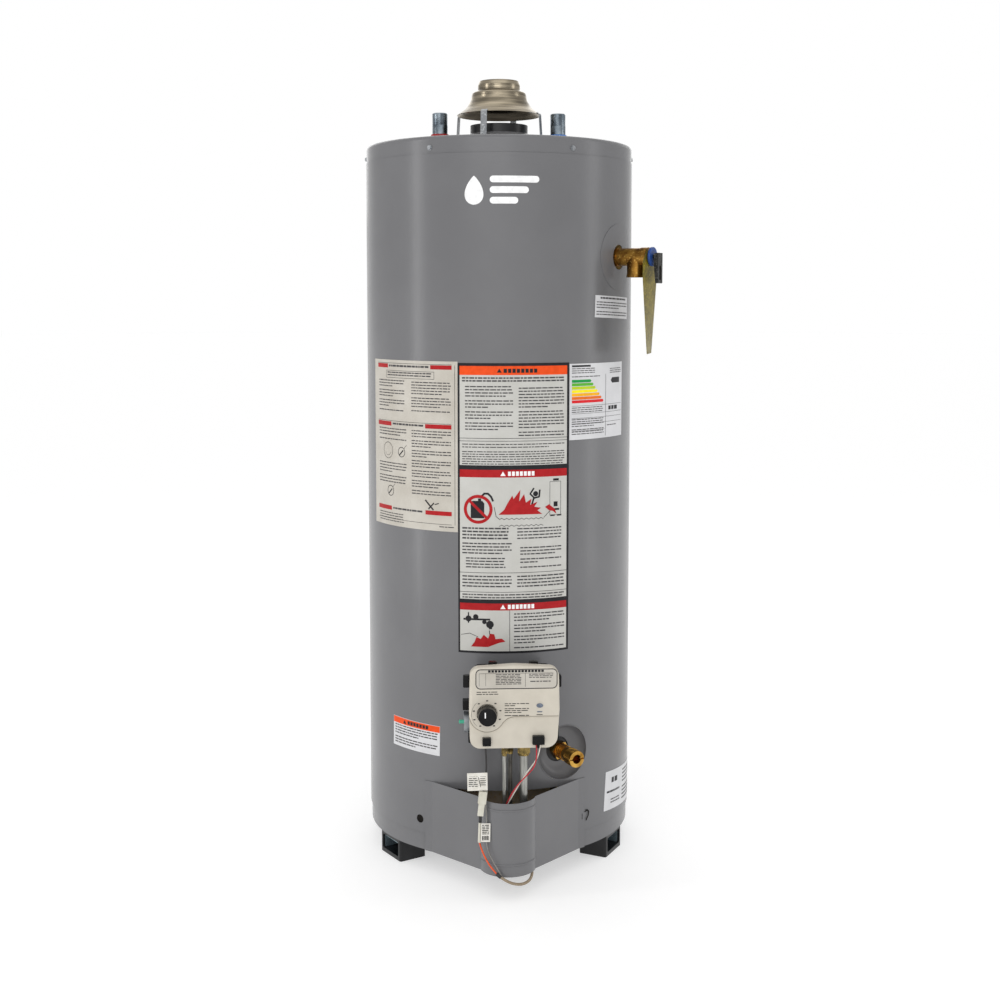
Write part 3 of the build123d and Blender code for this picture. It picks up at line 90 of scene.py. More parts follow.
def area_light(name, angle, far, z, width, height, power):
    """A soft box at an angle, distance and height in millimetres; its own size is in metres."""
    data = bpy.data.lights.new(name, "AREA")
    data.shape, data.size, data.size_y, data.energy = "RECTANGLE", width, height, power
    lamp = bpy.data.objects.new(name, data)
    bpy.context.scene.collection.objects.link(lamp)
    lamp.location = polar(angle, far, z)
    lamp.rotation_euler = (place(0, 0, LIGHT_AIM) - lamp.location).to_track_quat("-Z", "Y").to_euler()


area_light("key_left", -73, 2400, 1000, 0.34, 3.0, 13)
area_light("fill_right", 80, 2600, 1000, 0.6, 3.0, 8)
area_light("front_soft", -10, 3600, 2300, 2.4, 1.6, 16)
area_light("rear_soft", 180, 3200, 2200, 3.0, 2.0, 14)

# Light from the sides is dimmer than from the front and back, which darkens the jacket's edges.
# Each direction is told by how far it points along X, from 0 to 1.
FRONT_ENDS, SIDE_STARTS = 0.4, 0.7
FRONT_LEVEL, SIDE_LEVEL = 1.0, 0.5
world = bpy.data.worlds.new("studio")
bpy.context.scene.world = world
world.use_nodes = True
sky = world.node_tree
sky.nodes["Background"].inputs["Color"].default_value = (1.0, 1.0, 1.0, 1)
toward, split = sky.nodes.new("ShaderNodeTexCoord"), sky.nodes.new("ShaderNodeSeparateXYZ")
sideways, dim = sky.nodes.new("ShaderNodeMath"), sky.nodes.new("ShaderNodeMapRange")
sideways.operation = "ABSOLUTE"
dim.inputs["From Min"].default_value, dim.inputs["From Max"].default_value = FRONT_ENDS, SIDE_STARTS
dim.inputs["To Min"].default_value, dim.inputs["To Max"].default_value = FRONT_LEVEL, SIDE_LEVEL
sky.links.new(toward.outputs["Generated"], split.inputs["Vector"])
sky.links.new(split.outputs["X"], sideways.inputs[0])
sky.links.new(sideways.outputs["Value"], dim.inputs["Value"])
# The backdrop itself stays white: only the light that falls on the heater is dimmed at the sides.
ray, brighter = sky.nodes.new("ShaderNodeLightPath"), sky.nodes.new("ShaderNodeMath")
brighter.operation = "MAXIMUM"
sky.links.new(ray.outputs["Is Camera Ray"], brighter.inputs[0])
sky.links.new(dim.outputs["Result"], brighter.inputs[1])
sky.links.new(brighter.outputs["Value"], sky.nodes["Background"].inputs["Strength"])
bpy.context.scene.view_settings.view_transform = "Standard"


# ---- materials ------------------------------------------------------------------------------------
def rgb(code):
    """A hex colour as linear red, green and blue."""
    channels = [int(code[k:k + 2], 16) / 255 for k in (0, 2, 4)]
    return tuple(c / 12.92 if c <= 0.04045 else ((c + 0.055) / 1.055) ** 2.4 for c in channels)


GRAIN_DEPTH = 0.0004  # metres


def surface(name, colour, second, rough=0.5, spread=0.06, metal=0.0, scale=40.0, stretch=(1, 1, 1),
            bump=0.1, grain=900.0, coat=0.0, speck=None, specular=0.5):
    """A procedural finish: two tones mottled by noise, uneven roughness and a fine grain.

    scale and grain are the noise's sizes, stretch draws both out along an axis, and speck is a third
    colour in small spots."""
    mat = bpy.data.materials.new(name)
    mat.use_nodes = True
    tree = mat.node_tree
    shader = tree.nodes["Principled BSDF"]
    shader.inputs["Metallic"].default_value = metal
    shader.inputs["Specular IOR Level"].default_value = specular
    shader.inputs["Coat Weight"].default_value = coat
    shader.inputs["Coat Roughness"].default_value = 0.2
    place_in = tree.nodes.new("ShaderNodeTexCoord")
    mapping = tree.nodes.new("ShaderNodeMapping")
    mapping.inputs["Scale"].default_value = stretch
    tree.links.new(place_in.outputs["Object"], mapping.inputs["Vector"])
    mottle = tree.nodes.new("ShaderNodeTexNoise")
    mottle.inputs["Scale"].default_value = scale
    mottle.inputs["Detail"].default_value = 6.0
    tree.links.new(mapping.outputs["Vector"], mottle.inputs["Vector"])
    ramp = tree.nodes.new("ShaderNodeValToRGB")
    first_tone, second_tone = ramp.color_ramp.elements
    first_tone.position, second_tone.position = 0.33, 0.63
    first_tone.color, second_tone.color = (*colour, 1), (*second, 1)
    tree.links.new(mottle.outputs["Fac"], ramp.inputs["Fac"])
    tree.links.new(ramp.outputs["Color"], shader.inputs["Base Color"])
    if speck:
        spots = tree.nodes.new("ShaderNodeTexNoise")
        spots.inputs["Scale"].default_value = scale * 5
        spots.inputs["Detail"].default_value = 3.0
        tree.links.new(mapping.outputs["Vector"], spots.inputs["Vector"])
        pick = tree.nodes.new("ShaderNodeValToRGB")
        none, full = pick.color_ramp.elements
        none.position, full.position = 0.58, 0.66
        tree.links.new(spots.outputs["Fac"], pick.inputs["Fac"])
        blend = tree.nodes.new("ShaderNodeMix")
        blend.data_type = "RGBA"
        tree.links.new(pick.outputs["Color"], blend.inputs["Factor"])
        tree.links.new(ramp.outputs["Color"], blend.inputs["A"])
        blend.inputs["B"].default_value = (*speck, 1)
        tree.links.new(blend.outputs["Result"], shader.inputs["Base Color"])
    level = tree.nodes.new("ShaderNodeMapRange")
    level.inputs["To Min"].default_value = rough - spread
    level.inputs["To Max"].default_value = rough + spread
    tree.links.new(mottle.outputs["Fac"], level.inputs["Value"])
    tree.links.new(level.outputs["Result"], shader.inputs["Roughness"])
    fine = tree.nodes.new("ShaderNodeTexNoise")
    fine.inputs["Scale"].default_value = grain
    fine.inputs["Detail"].default_value = 4.0
    tree.links.new(mapping.outputs["Vector"], fine.inputs["Vector"])
    relief = tree.nodes.new("ShaderNodeBump")
    relief.inputs["Strength"].default_value = bump
    relief.inputs["Distance"].default_value = GRAIN_DEPTH
    tree.links.new(fine.outputs["Fac"], relief.inputs["Height"])
    tree.links.new(relief.outputs["Normal"], shader.inputs["Normal"])
    return mat


def ink(name, code, rough=0.5):
    """Printed colour, with slightly lighter patches."""
    colour = rgb(code)
    lighter = tuple(min(1, c * 1.15 + 0.004) for c in colour)
    return surface(name, colour, lighter, rough, 0.04, scale=120, bump=0.03, specular=0.25)


DRAWN, SPUN = (6, 6, 0.5), (0.5, 0.5, 8)  # marks along an upright tube, and rings round a spun cone
# One finish for each material slot of the record.
M = {
    "jacket_paint": surface("grey_enamel", rgb("717173"), rgb("6d6d6f"), 0.25, 0.02, scale=9,
                            bump=0.04, grain=700, specular=0.38),
    "hood_steel": surface("aluminised_steel", rgb("b9ad97"), rgb("7d7464"), 0.24, 0.08, 1.0, 26, SPUN,
                          bump=0.15, grain=160),
    "zinc": surface("zinc_strip", rgb("b4b6b8"), rgb("94979b"), 0.32, 0.1, 0.9, 60, bump=0.1,
                    speck=rgb("cfd2d4")),
    "tank_steel": surface("black_glassed_steel", rgb("2c2c2e"), rgb("1f1f21"), 0.5, scale=30),
    "flue_black": surface("flue_enamel", rgb("0f0f11"), rgb("1b1b1c"), 0.3, 0.1, scale=60, bump=0.2,
                          specular=0.4),
    "foam": surface("rigid_foam", rgb("d8c48a"), rgb("c6ae6e"), 0.9, scale=90, bump=0.8, grain=300),
    "blanket": surface("glass_fibre", rgb("ddcf86"), rgb("cbb862"), 0.95, scale=120, bump=1.0, grain=400),
    "pipe_zinc": surface("galvanised_pipe", rgb("9aa5ad"), rgb("6b767f"), 0.26, 0.08, 1.0, 90, bump=0.15),
    "cap_red": surface("red_cap", rgb("a81617"), rgb("951012"), 0.35, scale=60),
    "cap_blue": surface("blue_cap", rgb("1d74c6"), rgb("1764b0"), 0.35, scale=60),
    "white_plastic": surface("white_plastic", rgb("dedcd6"), rgb("d0cec8"), 0.5),
    "magnesium": surface("magnesium", rgb("b6b8ba"), rgb("9a9c9e"), 0.5, 0.1, 0.8),
    "brass": surface("cast_brass", rgb("b5873c"), rgb("6f4a1c"), 0.32, 0.1, 0.95, 70, bump=0.25,
                     grain=500, speck=rgb("cfa656")),
    "disc_blue": surface("enamel_blue", rgb("1f4f9e"), rgb("173e80"), 0.35, scale=200),
    "lever_steel": surface("dark_steel", rgb("4a4a48"), rgb("2e2e2d"), 0.36, 0.12, 0.85, 90, bump=0.2,
                           speck=rgb("6d6c68")),
    "tag_yellow": surface("tag_yellow", rgb("7d6f14"), rgb("5b500e"), 0.42, 0.1, scale=60, bump=0.3,
                          grain=200, speck=rgb("a3952c")),
    "cover_beige": surface("beige_plastic", rgb("cfc8ba"), rgb("c8c1b3"), 0.42, 0.04, scale=40,
                           bump=0.12, grain=1400),
    "black_plastic": surface("black_plastic", rgb("0c0c0d"), rgb("141415"), 0.26, 0.05, scale=80,
                             bump=0.1, grain=1500, specular=0.16),
    "control_casting": surface("die_casting", rgb("9da1a4"), rgb("85898d"), 0.45, 0.1, 0.8, 60, bump=0.3),
    "lens": surface("smoked_lens", rgb("667080"), rgb("525c6c"), 0.18, 0.04, scale=200, coat=0.5),
    "mint_plastic": surface("mint_plastic", rgb("3fb08f"), rgb("329a7c"), 0.42, scale=90),
    "tube_alu": surface("drawn_aluminium", rgb("a9a9a4"), rgb("8b8b86"), 0.3, 0.1, 0.92, 60, DRAWN,
                        bump=0.1),
    "tube_dark": surface("dull_steel", rgb("5b5954"), rgb("423f3b"), 0.42, 0.1, 0.85, 80, bump=0.15),
    "burner_steel": surface("pressed_steel", rgb("978a78"), rgb("7d705f"), 0.42, 0.12, 0.5, 50,
                            bump=0.2, speck=rgb("8a7454")),
    "gasket": surface("fibre_gasket", rgb("cfcabc"), rgb("bdb7a7"), 0.92, scale=200, bump=0.8),
    "screw_zinc": surface("screw_zinc", rgb("b9bcbf"), rgb("989b9f"), 0.3, 0.1, 0.9, 200),
    "foot_black": surface("foot_black", rgb("101012"), rgb("1c1c1e"), 0.34, 0.08, scale=60, bump=0.2,
                          grain=900, specular=0.35),
    "bracket_galv": surface("galvanised_sheet", rgb("a7bac2"), rgb("8597a0"), 0.35, 0.12, 0.8, 60,
                            bump=0.1, speck=rgb("c4d3da")),
    "wire_red": surface("red_insulation", rgb("c01226"), rgb("a50e1f"), 0.36, scale=300),
    "wire_white": surface("white_insulation", rgb("e2dcd2"), rgb("cfc8bd"), 0.4, scale=300),
    "lead_black": surface("black_insulation", rgb("1b1a1a"), rgb("282626"), 0.4, scale=300),
    "lead_orange": surface("orange_insulation", rgb("ef5a14"), rgb("dc4c0c"), 0.36, scale=300),
    "lead_grey": surface("grey_insulation", rgb("8e8b86"), rgb("7b7873"), 0.42, scale=300),
    "cable_beige": surface("braided_sleeve", rgb("a1907b"), rgb("85755f"), 0.55, scale=600, bump=0.5,
                           grain=1800),
    "nylon": surface("natural_nylon", rgb("d6d3c6"), rgb("c8c4b4"), 0.4, scale=90),
    "paper": surface("paper_tag", rgb("e9e6df"), rgb("dcd8ce"), 0.7, scale=150, bump=0.2),
}
BRIGHT_BRASS = surface("turned_brass", rgb("d3a754"), rgb("8d652a"), 0.2, 0.08, 1.0, 60, bump=0.1, grain=500)
DULL_BRASS = surface("aged_brass", rgb("97824e"), rgb("564b30"), 0.3, 0.1, 0.95, 90, bump=0.15,
                     speck=rgb("b89a58"))
SLOTS = {s["node"]: s["material_slot"] for s in frame["record"]["subparts"]}
for node, obj in NODES.items():
    obj.data.materials.clear()
    obj.data.materials.append(M[SLOTS[node]])
for node, finish in (("drain_body", BRIGHT_BRASS), ("drain_nozzle", BRIGHT_BRASS), ("tube_nuts", DULL_BRASS)):
    NODES[node].data.materials[0] = finish


# ---- making pieces --------------------------------------------------------------------------------
def add(name, bm, mat, body="root", smooth=None, replaces=()):
    """Links a bmesh as a piece that rides on a body."""
    mesh = bpy.data.meshes.new(name)
    bm.to_mesh(mesh)
    bm.free()
    obj = bpy.data.objects.new(name, mesh)
    bpy.context.scene.collection.objects.link(obj)
    mesh.materials.append(mat)
    if smooth is not None:
        mesh.shade_smooth()
        mesh.set_sharp_from_angle(angle=radians(smooth))
    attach(obj, body)
    if replaces:
        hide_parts(*replaces)
    return obj


def lathe(name, foot, along, profile, mat, body="root", n=40, pitch=None, ridge=0.0, smooth=40,
          replaces=()):
    """A turned piece. profile is a closed loop of (distance along, radius) in millimetres. A point with a
    third entry of True carries a helical thread of that pitch, ridge millimetres high."""
    along = along.normalized()
    side = along.orthogonal().normalized()
    other = along.cross(side)
    bm = bmesh.new()
    rings = []
    for point in profile:
        ring = []
        for k in range(n):
            a = 2 * pi * k / n
            r = point[1]
            if pitch and len(point) > 2:
                phase = (point[0] / pitch + k / n) % 1.0
                r += ridge * (1 - abs(2 * phase - 1))
            ring.append(bm.verts.new(foot + (along * point[0] + (side * cos(a) + other * sin(a)) * r) * MM))
        rings.append(ring)
    for ring, following in zip(rings, rings[1:] + rings[:1]):
        for k in range(n):
            bm.faces.new((ring[k], ring[(k + 1) % n], following[(k + 1) % n], following[k]))
    bmesh.ops.recalc_face_normals(bm, faces=bm.faces)
    return add(name, bm, mat, body, smooth, replaces)


THREAD_STEP = 0.45


def threaded(start, end, r):
    """Profile points along a thread."""
    count = int((end - start) / THREAD_STEP)
    return [(start + (end - start) * k / count, r, True) for k in range(count + 1)]


def wrap(lift):
    """Maps (s, z) onto the jacket, lift millimetres above its paint."""
    return lambda s, z, deep=0.0: polar(s / JACKET_R * 180 / pi, JACKET_R + lift - deep, z)


def flat(y, lift):
    """Maps (x, z) onto an upright plane that faces the front."""
    return lambda x, z, deep=0.0: place(x, y - lift + deep, z)


BEND_STEP = 7.0  # the widest a strip of sticker may be round the jacket


def decal(name, shapes, mapping, mat, body="root", thick=0.1, step=BEND_STEP):
    """Printed or stuck-on shapes, each a list of (s, z) corners, as one thin piece.

    It is cut into strips of step across, so that it bends with the jacket; 0 leaves it whole."""
    bm = bmesh.new()
    for shape in shapes:
        bm.faces.new([bm.verts.new((s, z, 0)) for s, z in shape])
    bmesh.ops.recalc_face_normals(bm, faces=bm.faces)
    for face in bm.faces:
        if face.normal.z < 0:
            face.normal_flip()
    if step:
        first = min(v.co.x for v in bm.verts)
        last = max(v.co.x for v in bm.verts)
        cut = first + step
        while cut < last:
            whole = bm.verts[:] + bm.edges[:] + bm.faces[:]
            bmesh.ops.bisect_plane(bm, geom=whole, plane_co=(cut, 0, 0), plane_no=(1, 0, 0))
            cut += step
    made = bmesh.ops.extrude_face_region(bm, geom=bm.faces[:], use_keep_orig=True)
    under = {v for v in made["geom"] if isinstance(v, bmesh.types.BMVert)}
    for v in bm.verts:
        v.co = mapping(v.co.x, v.co.y, 0.0 if v in under else thick)
    bmesh.ops.recalc_face_normals(bm, faces=bm.faces)
    return add(name, bm, mat, body)


def rect(x0, x1, z0, z1):
    return [(x0, z0), (x1, z0), (x1, z1), (x0, z1)]


def rounded(x0, x1, z0, z1, r, n=5):
    """A rectangle with round corners."""
    out = []
    left, right, low_z, high_z = x0 + r, x1 - r, z0 + r, z1 - r
    corners = ((right, low_z, -90), (right, high_z, 0), (left, high_z, 90), (left, low_z, 180))
    for cx, cz, start in corners:
        for k in range(n + 1):
            a = radians(start + 90 * k / n)
            out.append((cx + r * cos(a), cz + r * sin(a)))
    return out


def disc(cx, cz, r, n=28):
    return [(cx + r * cos(2 * pi * k / n), cz + r * sin(2 * pi * k / n)) for k in range(n)]


def arc_band(cx, cz, r0, r1, a0, a1, n=24):
    """Part of a ring, as quads."""
    out = []
    for k in range(n):
        a, b = radians(a0 + (a1 - a0) * k / n), radians(a0 + (a1 - a0) * (k + 1) / n)
        out.append([(cx + r0 * cos(a), cz + r0 * sin(a)), (cx + r1 * cos(a), cz + r1 * sin(a)),
                    (cx + r1 * cos(b), cz + r1 * sin(b)), (cx + r0 * cos(b), cz + r0 * sin(b))])
    return out


def stroke(points, width):
    """A line through points as quads of that width."""
    out = []
    for (x0, z0), (x1, z1) in zip(points, points[1:]):
        d = Vector((x1 - x0, z1 - z0)).normalized() * width / 2
        past = d * 0.3  # each quad runs a little past its ends, so that the corners close
        out.append([(x0 + d.y - past.x, z0 - d.x - past.y), (x1 + d.y + past.x, z1 - d.x + past.y),
                    (x1 - d.y + past.x, z1 + d.x + past.y), (x0 - d.y - past.x, z0 + d.x - past.y)])
    return out


def frame_of(x0, x1, z0, z1, w):
    """Four strips round a rectangle."""
    return [rect(x0, x1, z1 - w, z1), rect(x0, x1, z0, z0 + w), rect(x0, x0 + w, z0 + w, z1 - w),
            rect(x1 - w, x1, z0 + w, z1 - w)]


chance = random.Random(7)


def words(x0, x1, top, bottom, pitch=5.1, tall=2.0, paragraphs=()):
    """Blank bars in place of text: rows pitch apart, broken into words. A row whose number is in
    paragraphs ends short, and a gap follows it."""
    out, z, row = [], top - tall, 0
    while z > bottom:
        end = x0 + (x1 - x0) * (0.35 + 0.5 * chance.random()) if row in paragraphs else x1
        x = x0
        while x < end - 2:
            w = min(3.0 + 7.5 * chance.random(), end - x)
            out.append(rect(x, x + w, z, z + tall))
            x += w + 1.3
        z -= pitch * (1.55 if row in paragraphs else 1)
        row += 1
    return out


def turn_shapes(shapes, cx, cz, degrees):
    """The shapes turned about (cx, cz)."""
    c, s = cos(radians(degrees)), sin(radians(degrees))
    return [[(cx + (x - cx) * c - (z - cz) * s, cz + (x - cx) * s + (z - cz) * c) for x, z in shape]
            for shape in shapes]


# ---- leads ----------------------------------------------------------------------------------------
def lead(name, route, diameter):
    """A free lead on a smooth line through its route's control points."""
    curve = bpy.data.curves.new(name, "CURVE")
    curve.dimensions = "3D"
    curve.bevel_depth, curve.bevel_resolution, curve.resolution_u = diameter * MM / 2, 5, 10
    curve.use_fill_caps = True
    spline = curve.splines.new("NURBS")
    spline.points.add(len(route) - 1)
    for point, at in zip(spline.points, route):
        point.co = (*place(*at), 1)
    spline.order_u, spline.use_endpoint_u = 3, True
    obj = bpy.data.objects.new(name + "_line", curve)
    bpy.context.scene.collection.objects.link(obj)
    curve.materials.append(M[SLOTS[name]])
    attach(obj, "root")
    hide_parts(name)
    return obj


splice_foot = place(-21.0, -309.7, 46.0)
splice = lathe("lead_splice", splice_foot, place(-15, -312, 41.4) - splice_foot,
               [(0, 0.9), (0, 2.6), (1, 3.0), (8, 3.0), (9.5, 2.6), (9.5, 0.9)],
               M["lead_black"], n=24)
lead("spark_lead", [
    (-37.8, -300.0, 249.25), (-36.2, -299.6, 228.0), (-36.3, -298.8, 208.0), (-38.3, -297.2, 190.5),
    (-40.8, -296.4, 176.0),
], 3.2)
lead("orange_lead", [
    (-47.2, -294.6, 92.0), (-43.8, -294.9, 80.0), (-37.4, -297.6, 66.0), (-29.4, -303.9, 54.0),
    (-19.0, -311.0, 44.3),
], 2.6)
lead("grey_lead", [
    (-37.4, -297.6, 155.6), (-36.2, -297.8, 141.0), (-35.8, -297.2, 125.0), (-37.4, -296.8, 108.0),
    (-36.6, -298.0, 92.0), (-32.6, -301.8, 77.0), (-26.0, -306.6, 64.5), (-19.0, -310.4, 53.5),
    (-13.2, -311.8, 43.4),
], 1.8)
lead("loop_cable", [
    (-19.0, -311.0, 44.3), (-8.5, -313.0, 36.6), (5.0, -311.8, 29.6), (18.5, -307.0, 26.0),
    (30.0, -298.0, 26.4), (36.8, -287.6, 30.2), (38.6, -278.4, 38.2), (37.6, -268.6, 50.0),
    (35.2, -256.0, 62.0), (32.6, -241.0, 73.0), (30.8, -224.0, 81.5), (30.0, -204.8, 86.0),
], 4.6)
lead("thermopile_wire_red", [
    (41.4, -314.0, 256.0), (42.6, -312.0, 242.0), (42.0, -308.0, 228.0), (38.2, -304.6, 214.5),
    (28.0, -301.6, 202.3), (15.6, -299.8, 189.0), (5.4, -298.6, 174.5), (-1.2, -297.4, 161.0),
    (-6.4, -293.4, 147.5), (-15.0, -287.0, 136.4), (-20.4, -273.0, 127.5), (-21.6, -254.5, 121.5),
    (-20.8, -231.5, 118.6), (-20.0, -206.0, 117.6),
], 2.0)
lead("thermopile_wire_white", [
    (48.0, -314.0, 256.0), (46.8, -310.2, 243.0), (42.8, -305.0, 228.6), (34.4, -300.0, 214.8),
    (25.8, -297.4, 202.0), (17.8, -296.0, 188.5), (9.4, -295.2, 174.5), (2.4, -293.8, 161.0),
    (-3.4, -290.6, 148.8), (-11.4, -284.6, 139.4), (-15.8, -270.5, 131.5), (-16.8, -252.0, 125.4),
    (-16.6, -230.0, 122.6), (-16.0, -206.4, 122.0),
], 2.0)

# ---- stickers on the jacket -----------------------------------------------------------------------
PAPER = surface("sticker_paper", rgb("c6c5c0"), rgb("bfbeb8"), 0.42, 0.04, scale=30, bump=0.04, coat=0.15)
PAPER_COOL = surface("sticker_white", rgb("d6d6d8"), rgb("cdcdcf"), 0.4, 0.04, scale=30, bump=0.04, coat=0.15)
PAPER_WARM = surface("sticker_warm", rgb("c4bfb5"), rgb("b9b3a8"), 0.45, 0.04, scale=26, bump=0.05, coat=0.15)
BLACK, GREY = ink("black_ink", "17161a", 0.4), ink("grey_ink", "413f41")
RED, ORANGE = ink("red_ink", "a30a12", 0.42), ink("orange_ink", "e04806", 0.42)
WHITE = ink("white_ink", "eeeeee", 0.42)
BASE, PRINT, OVER, TOPMOST = wrap(0.3), wrap(0.42), wrap(0.54), wrap(0.66)
STICKER_THICK = 0.28


def sticker(name, outline, paper):
    decal(name, [outline], BASE, paper, thick=STICKER_THICK)


def printing(name, shapes, mat, mapping=PRINT):
    decal(name, shapes, mapping, mat)


def triangle(cx, cz, h):
    return [(cx - h * 0.6, cz), (cx + h * 0.6, cz), (cx, cz + h)]


def blocks(x0, wide, pitch, z0, z1, count):
    """A row of equal blocks, as letters of a heading."""
    return [rect(x0 + pitch * k, x0 + wide + pitch * k, z0, z1) for k in range(count)]


# Main label: a black sheet with three paper panels, each under a coloured band
MAIN_LEFT, MAIN_RIGHT = -79.0, 105.7
PANEL_LEFT, PANEL_RIGHT = MAIN_LEFT + 3, MAIN_RIGHT - 4


def across_panel(z0, z1):
    return rect(PANEL_LEFT, PANEL_RIGHT, z0, z1)


sticker("label_main", rect(MAIN_LEFT, MAIN_RIGHT, 380.5, 850), BLACK)
printing("label_main_panels", [across_panel(686.5, 831), across_panel(469, 667), across_panel(384, 451)],
         PAPER)
printing("label_main_orange", [across_panel(831, 845.4)], ORANGE)
printing("label_main_red_bands", [across_panel(667, 679.4), across_panel(451, 462.4)], RED)
printing("label_main_heading", [triangle(-12, 835, 6.5)] + blocks(-5, 5.2, 7, 834.6, 841, 8), BLACK, OVER)
band_headings = []
for z in (669.6, 453.4):
    band_headings += [triangle(-6, z, 7)] + blocks(2, 4.6, 6.4, z, z + 7, 7)
printing("label_main_white", band_headings, WHITE, OVER)
main_text = words(-72, 97, 827.5, 817, 4.6, 2.4)
main_text += words(-67, 10, 813.5, 741, 5.0, 1.9, (3, 6, 9, 12))
main_text += words(19, 96, 811, 732, 5.0, 1.9, (6, 12))
main_text += words(-72, 97, 721, 711, 4.6, 1.5, (1,))
main_text += words(-72, 97, 709, 688, 3.9, 1.5)
main_text += words(-72, 3, 586, 566, 5.4, 2.6) + words(-72, 8, 561, 542, 5.2, 2.1, (3,))
main_text += words(-66, -2, 537, 516, 4.8, 2.0)
main_text += words(17, 92, 585, 563, 5.2, 2.0) + words(22, 92, 554, 516, 5.2, 2.0, (2, 4))
main_text += words(-72, 8, 507.5, 484, 5.4, 2.2) + words(17, 97, 507.5, 484, 5.4, 2.2)
main_text += words(-72, 97, 477.5, 470, 4.6, 2.0)
main_text += words(12, 98, 446, 388, 5.2, 2.0, (2, 5, 8))
printing("label_main_text", main_text, GREY, OVER)
rules = [across_panel(z, z + 0.8) for z in (729.5, 725, 512, 480.4)]
rules += [rect(4.5, 5.3, 384, 451)]
rules += frame_of(71, 91, 604, 659, 0.7)
printing("label_main_rules", rules, GREY, OVER)

# Middle panel: a fuel can and its spout, a plain heater, a figure, fumes and waves
can = [(-58, 601), (-36, 601), (-36, 625), (-39, 629), (-41, 629), (-41, 633), (-46, 633), (-46, 629),
       (-55, 629), (-58, 626)]
black_shapes = [can, rect(77, 87, 660, 663.5), rect(76, 88, 612, 615), rect(72, 80, 602.5, 605),
                rect(84, 92, 602.5, 605), rect(78, 85, 618, 626)]
black_shapes += stroke([(-41, 636), (-36, 641), (-30, 641), (-25, 636), (-22, 629)], 3.2)
figure_x, figure_z = 47, 640
black_shapes += [disc(figure_x, figure_z, 4.2)]
black_shapes += stroke([(figure_x - 3, figure_z + 9), (figure_x - 9, figure_z),
                        (figure_x - 3, figure_z - 6)], 2.6)
black_shapes += stroke([(figure_x + 7, figure_z + 6), (figure_x + 6, figure_z - 5),
                        (figure_x - 3, figure_z - 7), (figure_x - 6, figure_z - 17)], 2.8)
black_shapes += stroke([(-20, 619), (-17, 604), (-12, 600)], 0.9)
wave = [(-12 + 4 * k, 600 + (1.3 if k % 2 else -1.0)) for k in range(19)]
black_shapes += stroke(wave, 0.8) + stroke([(x, z - 11) for x, z in wave], 0.8)
black_shapes += stroke([(61, 601), (72, 612)], 0.9)
# Lower panel: a tap with its drops
for cx, cz, r in ((-62, 437, 5), (-50, 440, 4.4), (-27, 428, 6.2), (-36, 432, 3.6)):
    black_shapes.append(disc(cx, cz, r))
black_shapes += stroke([(-70, 436), (-27, 436)], 3.0) + stroke([(-27, 432), (-26, 421)], 5)
black_shapes += stroke([(-62, 447), (-62, 430)], 2.0) + stroke([(-28, 418), (-27, 409)], 1.2)
black_shapes += stroke([(-74, 410), (-60, 413), (-46, 407)], 0.8)
printing("label_main_pictograms", black_shapes, BLACK, OVER)
flame = [(-13, 607), (58, 607), (50, 613), (56, 617), (45, 619), (50, 627), (38, 622), (40, 632),
         (31, 626), (28, 640), (20, 628), (22, 647), (11, 632), (9, 638), (1, 625), (-4, 615)]
low_flame = [(-58, 391), (-30, 391), (-12, 398), (-2, 400), (-8, 405), (-18, 404), (-20, 412), (-27, 413),
             (-30, 405), (-37, 411), (-42, 404), (-49, 407), (-52, 399)]
red_shapes = [flame, [(63, 618), (70, 622), (80, 614), (83, 606), (76, 611), (70, 612)]]
red_shapes += arc_band(-46, 615.5, 18.4, 23.4, 0, 360, 40)
red_shapes += stroke([(-61, 630), (-31, 601)], 4.4) + [low_flame]
printing("label_main_red_pictograms", red_shapes, RED, TOPMOST)

# Left sticker
sticker("label_left", rect(-273, -79.6, 577, 852), PAPER_WARM)
printing("label_left_red", [
    rect(-259, -225, 838.8, 845.6), rect(-127.7, -89.5, 838.8, 845.6), rect(-259, -216, 743, 750),
    rect(-138, -90, 743, 750), rect(-259, -216, 602.5, 609.5), rect(-138, -90, 602.5, 609.5),
], RED)
left_text = words(-222, -131, 844, 838, 5, 3.2) + words(-212, -141, 748.5, 743, 5, 3.0)
left_text += words(-212, -141, 608, 602, 5, 3.0)
left_text += words(-226, -124, 832.5, 824, 4.2, 2.0)
left_text += words(-255, -182, 819, 764, 4.6, 1.7, (2, 5, 8)) + words(-166, -91, 818, 766, 4.6, 1.7, (4, 8))
left_text += words(-255, -178, 739, 716, 4.8, 1.7, (2,))
left_text += words(-166, -91, 739, 632, 4.6, 1.7, (2, 5, 8, 11, 14, 17, 20))
left_text += words(-255, -178, 682, 648, 4.8, 1.7, (3,)) + words(-255, -185, 598, 583, 4.2, 1.5)
left_text += words(-112, -84, 585, 581, 4, 1.5)
printing("label_left_text", left_text, GREY)
left_rules = frame_of(-229.4, -120.6, 822.5, 834.8, 0.6) + [rect(-84.6, -84.0, 588, 846)]
left_rules += [rect(-259, -90, 751, 751.6), rect(-259, -90, 846.4, 847), rect(-259, -90, 588, 588.6)]
for cx, cz, r in ((-189.6, 701, 8.5), (-219, 635, 9)):
    left_rules += arc_band(cx, cz, r - 1.1, r, 0, 360, 26) + stroke([(cx - 5, cz - 5), (cx + 4, cz + 3)], 2.2)
    left_rules += stroke([(cx + 6, cz + 6), (cx + 12, cz + 12)], 0.7)
left_rules += arc_band(-226, 702, 13, 13.7, 0, 360, 30) + arc_band(-226, 702, 8, 8.5, 200, 340, 10)
left_rules += stroke([(-138, 626), (-129, 617), (-123, 611)], 2.6) + stroke([(-132, 612), (-122, 622)], 2.2)
left_rules += stroke([(-120, 620), (-113, 622)], 1.6)
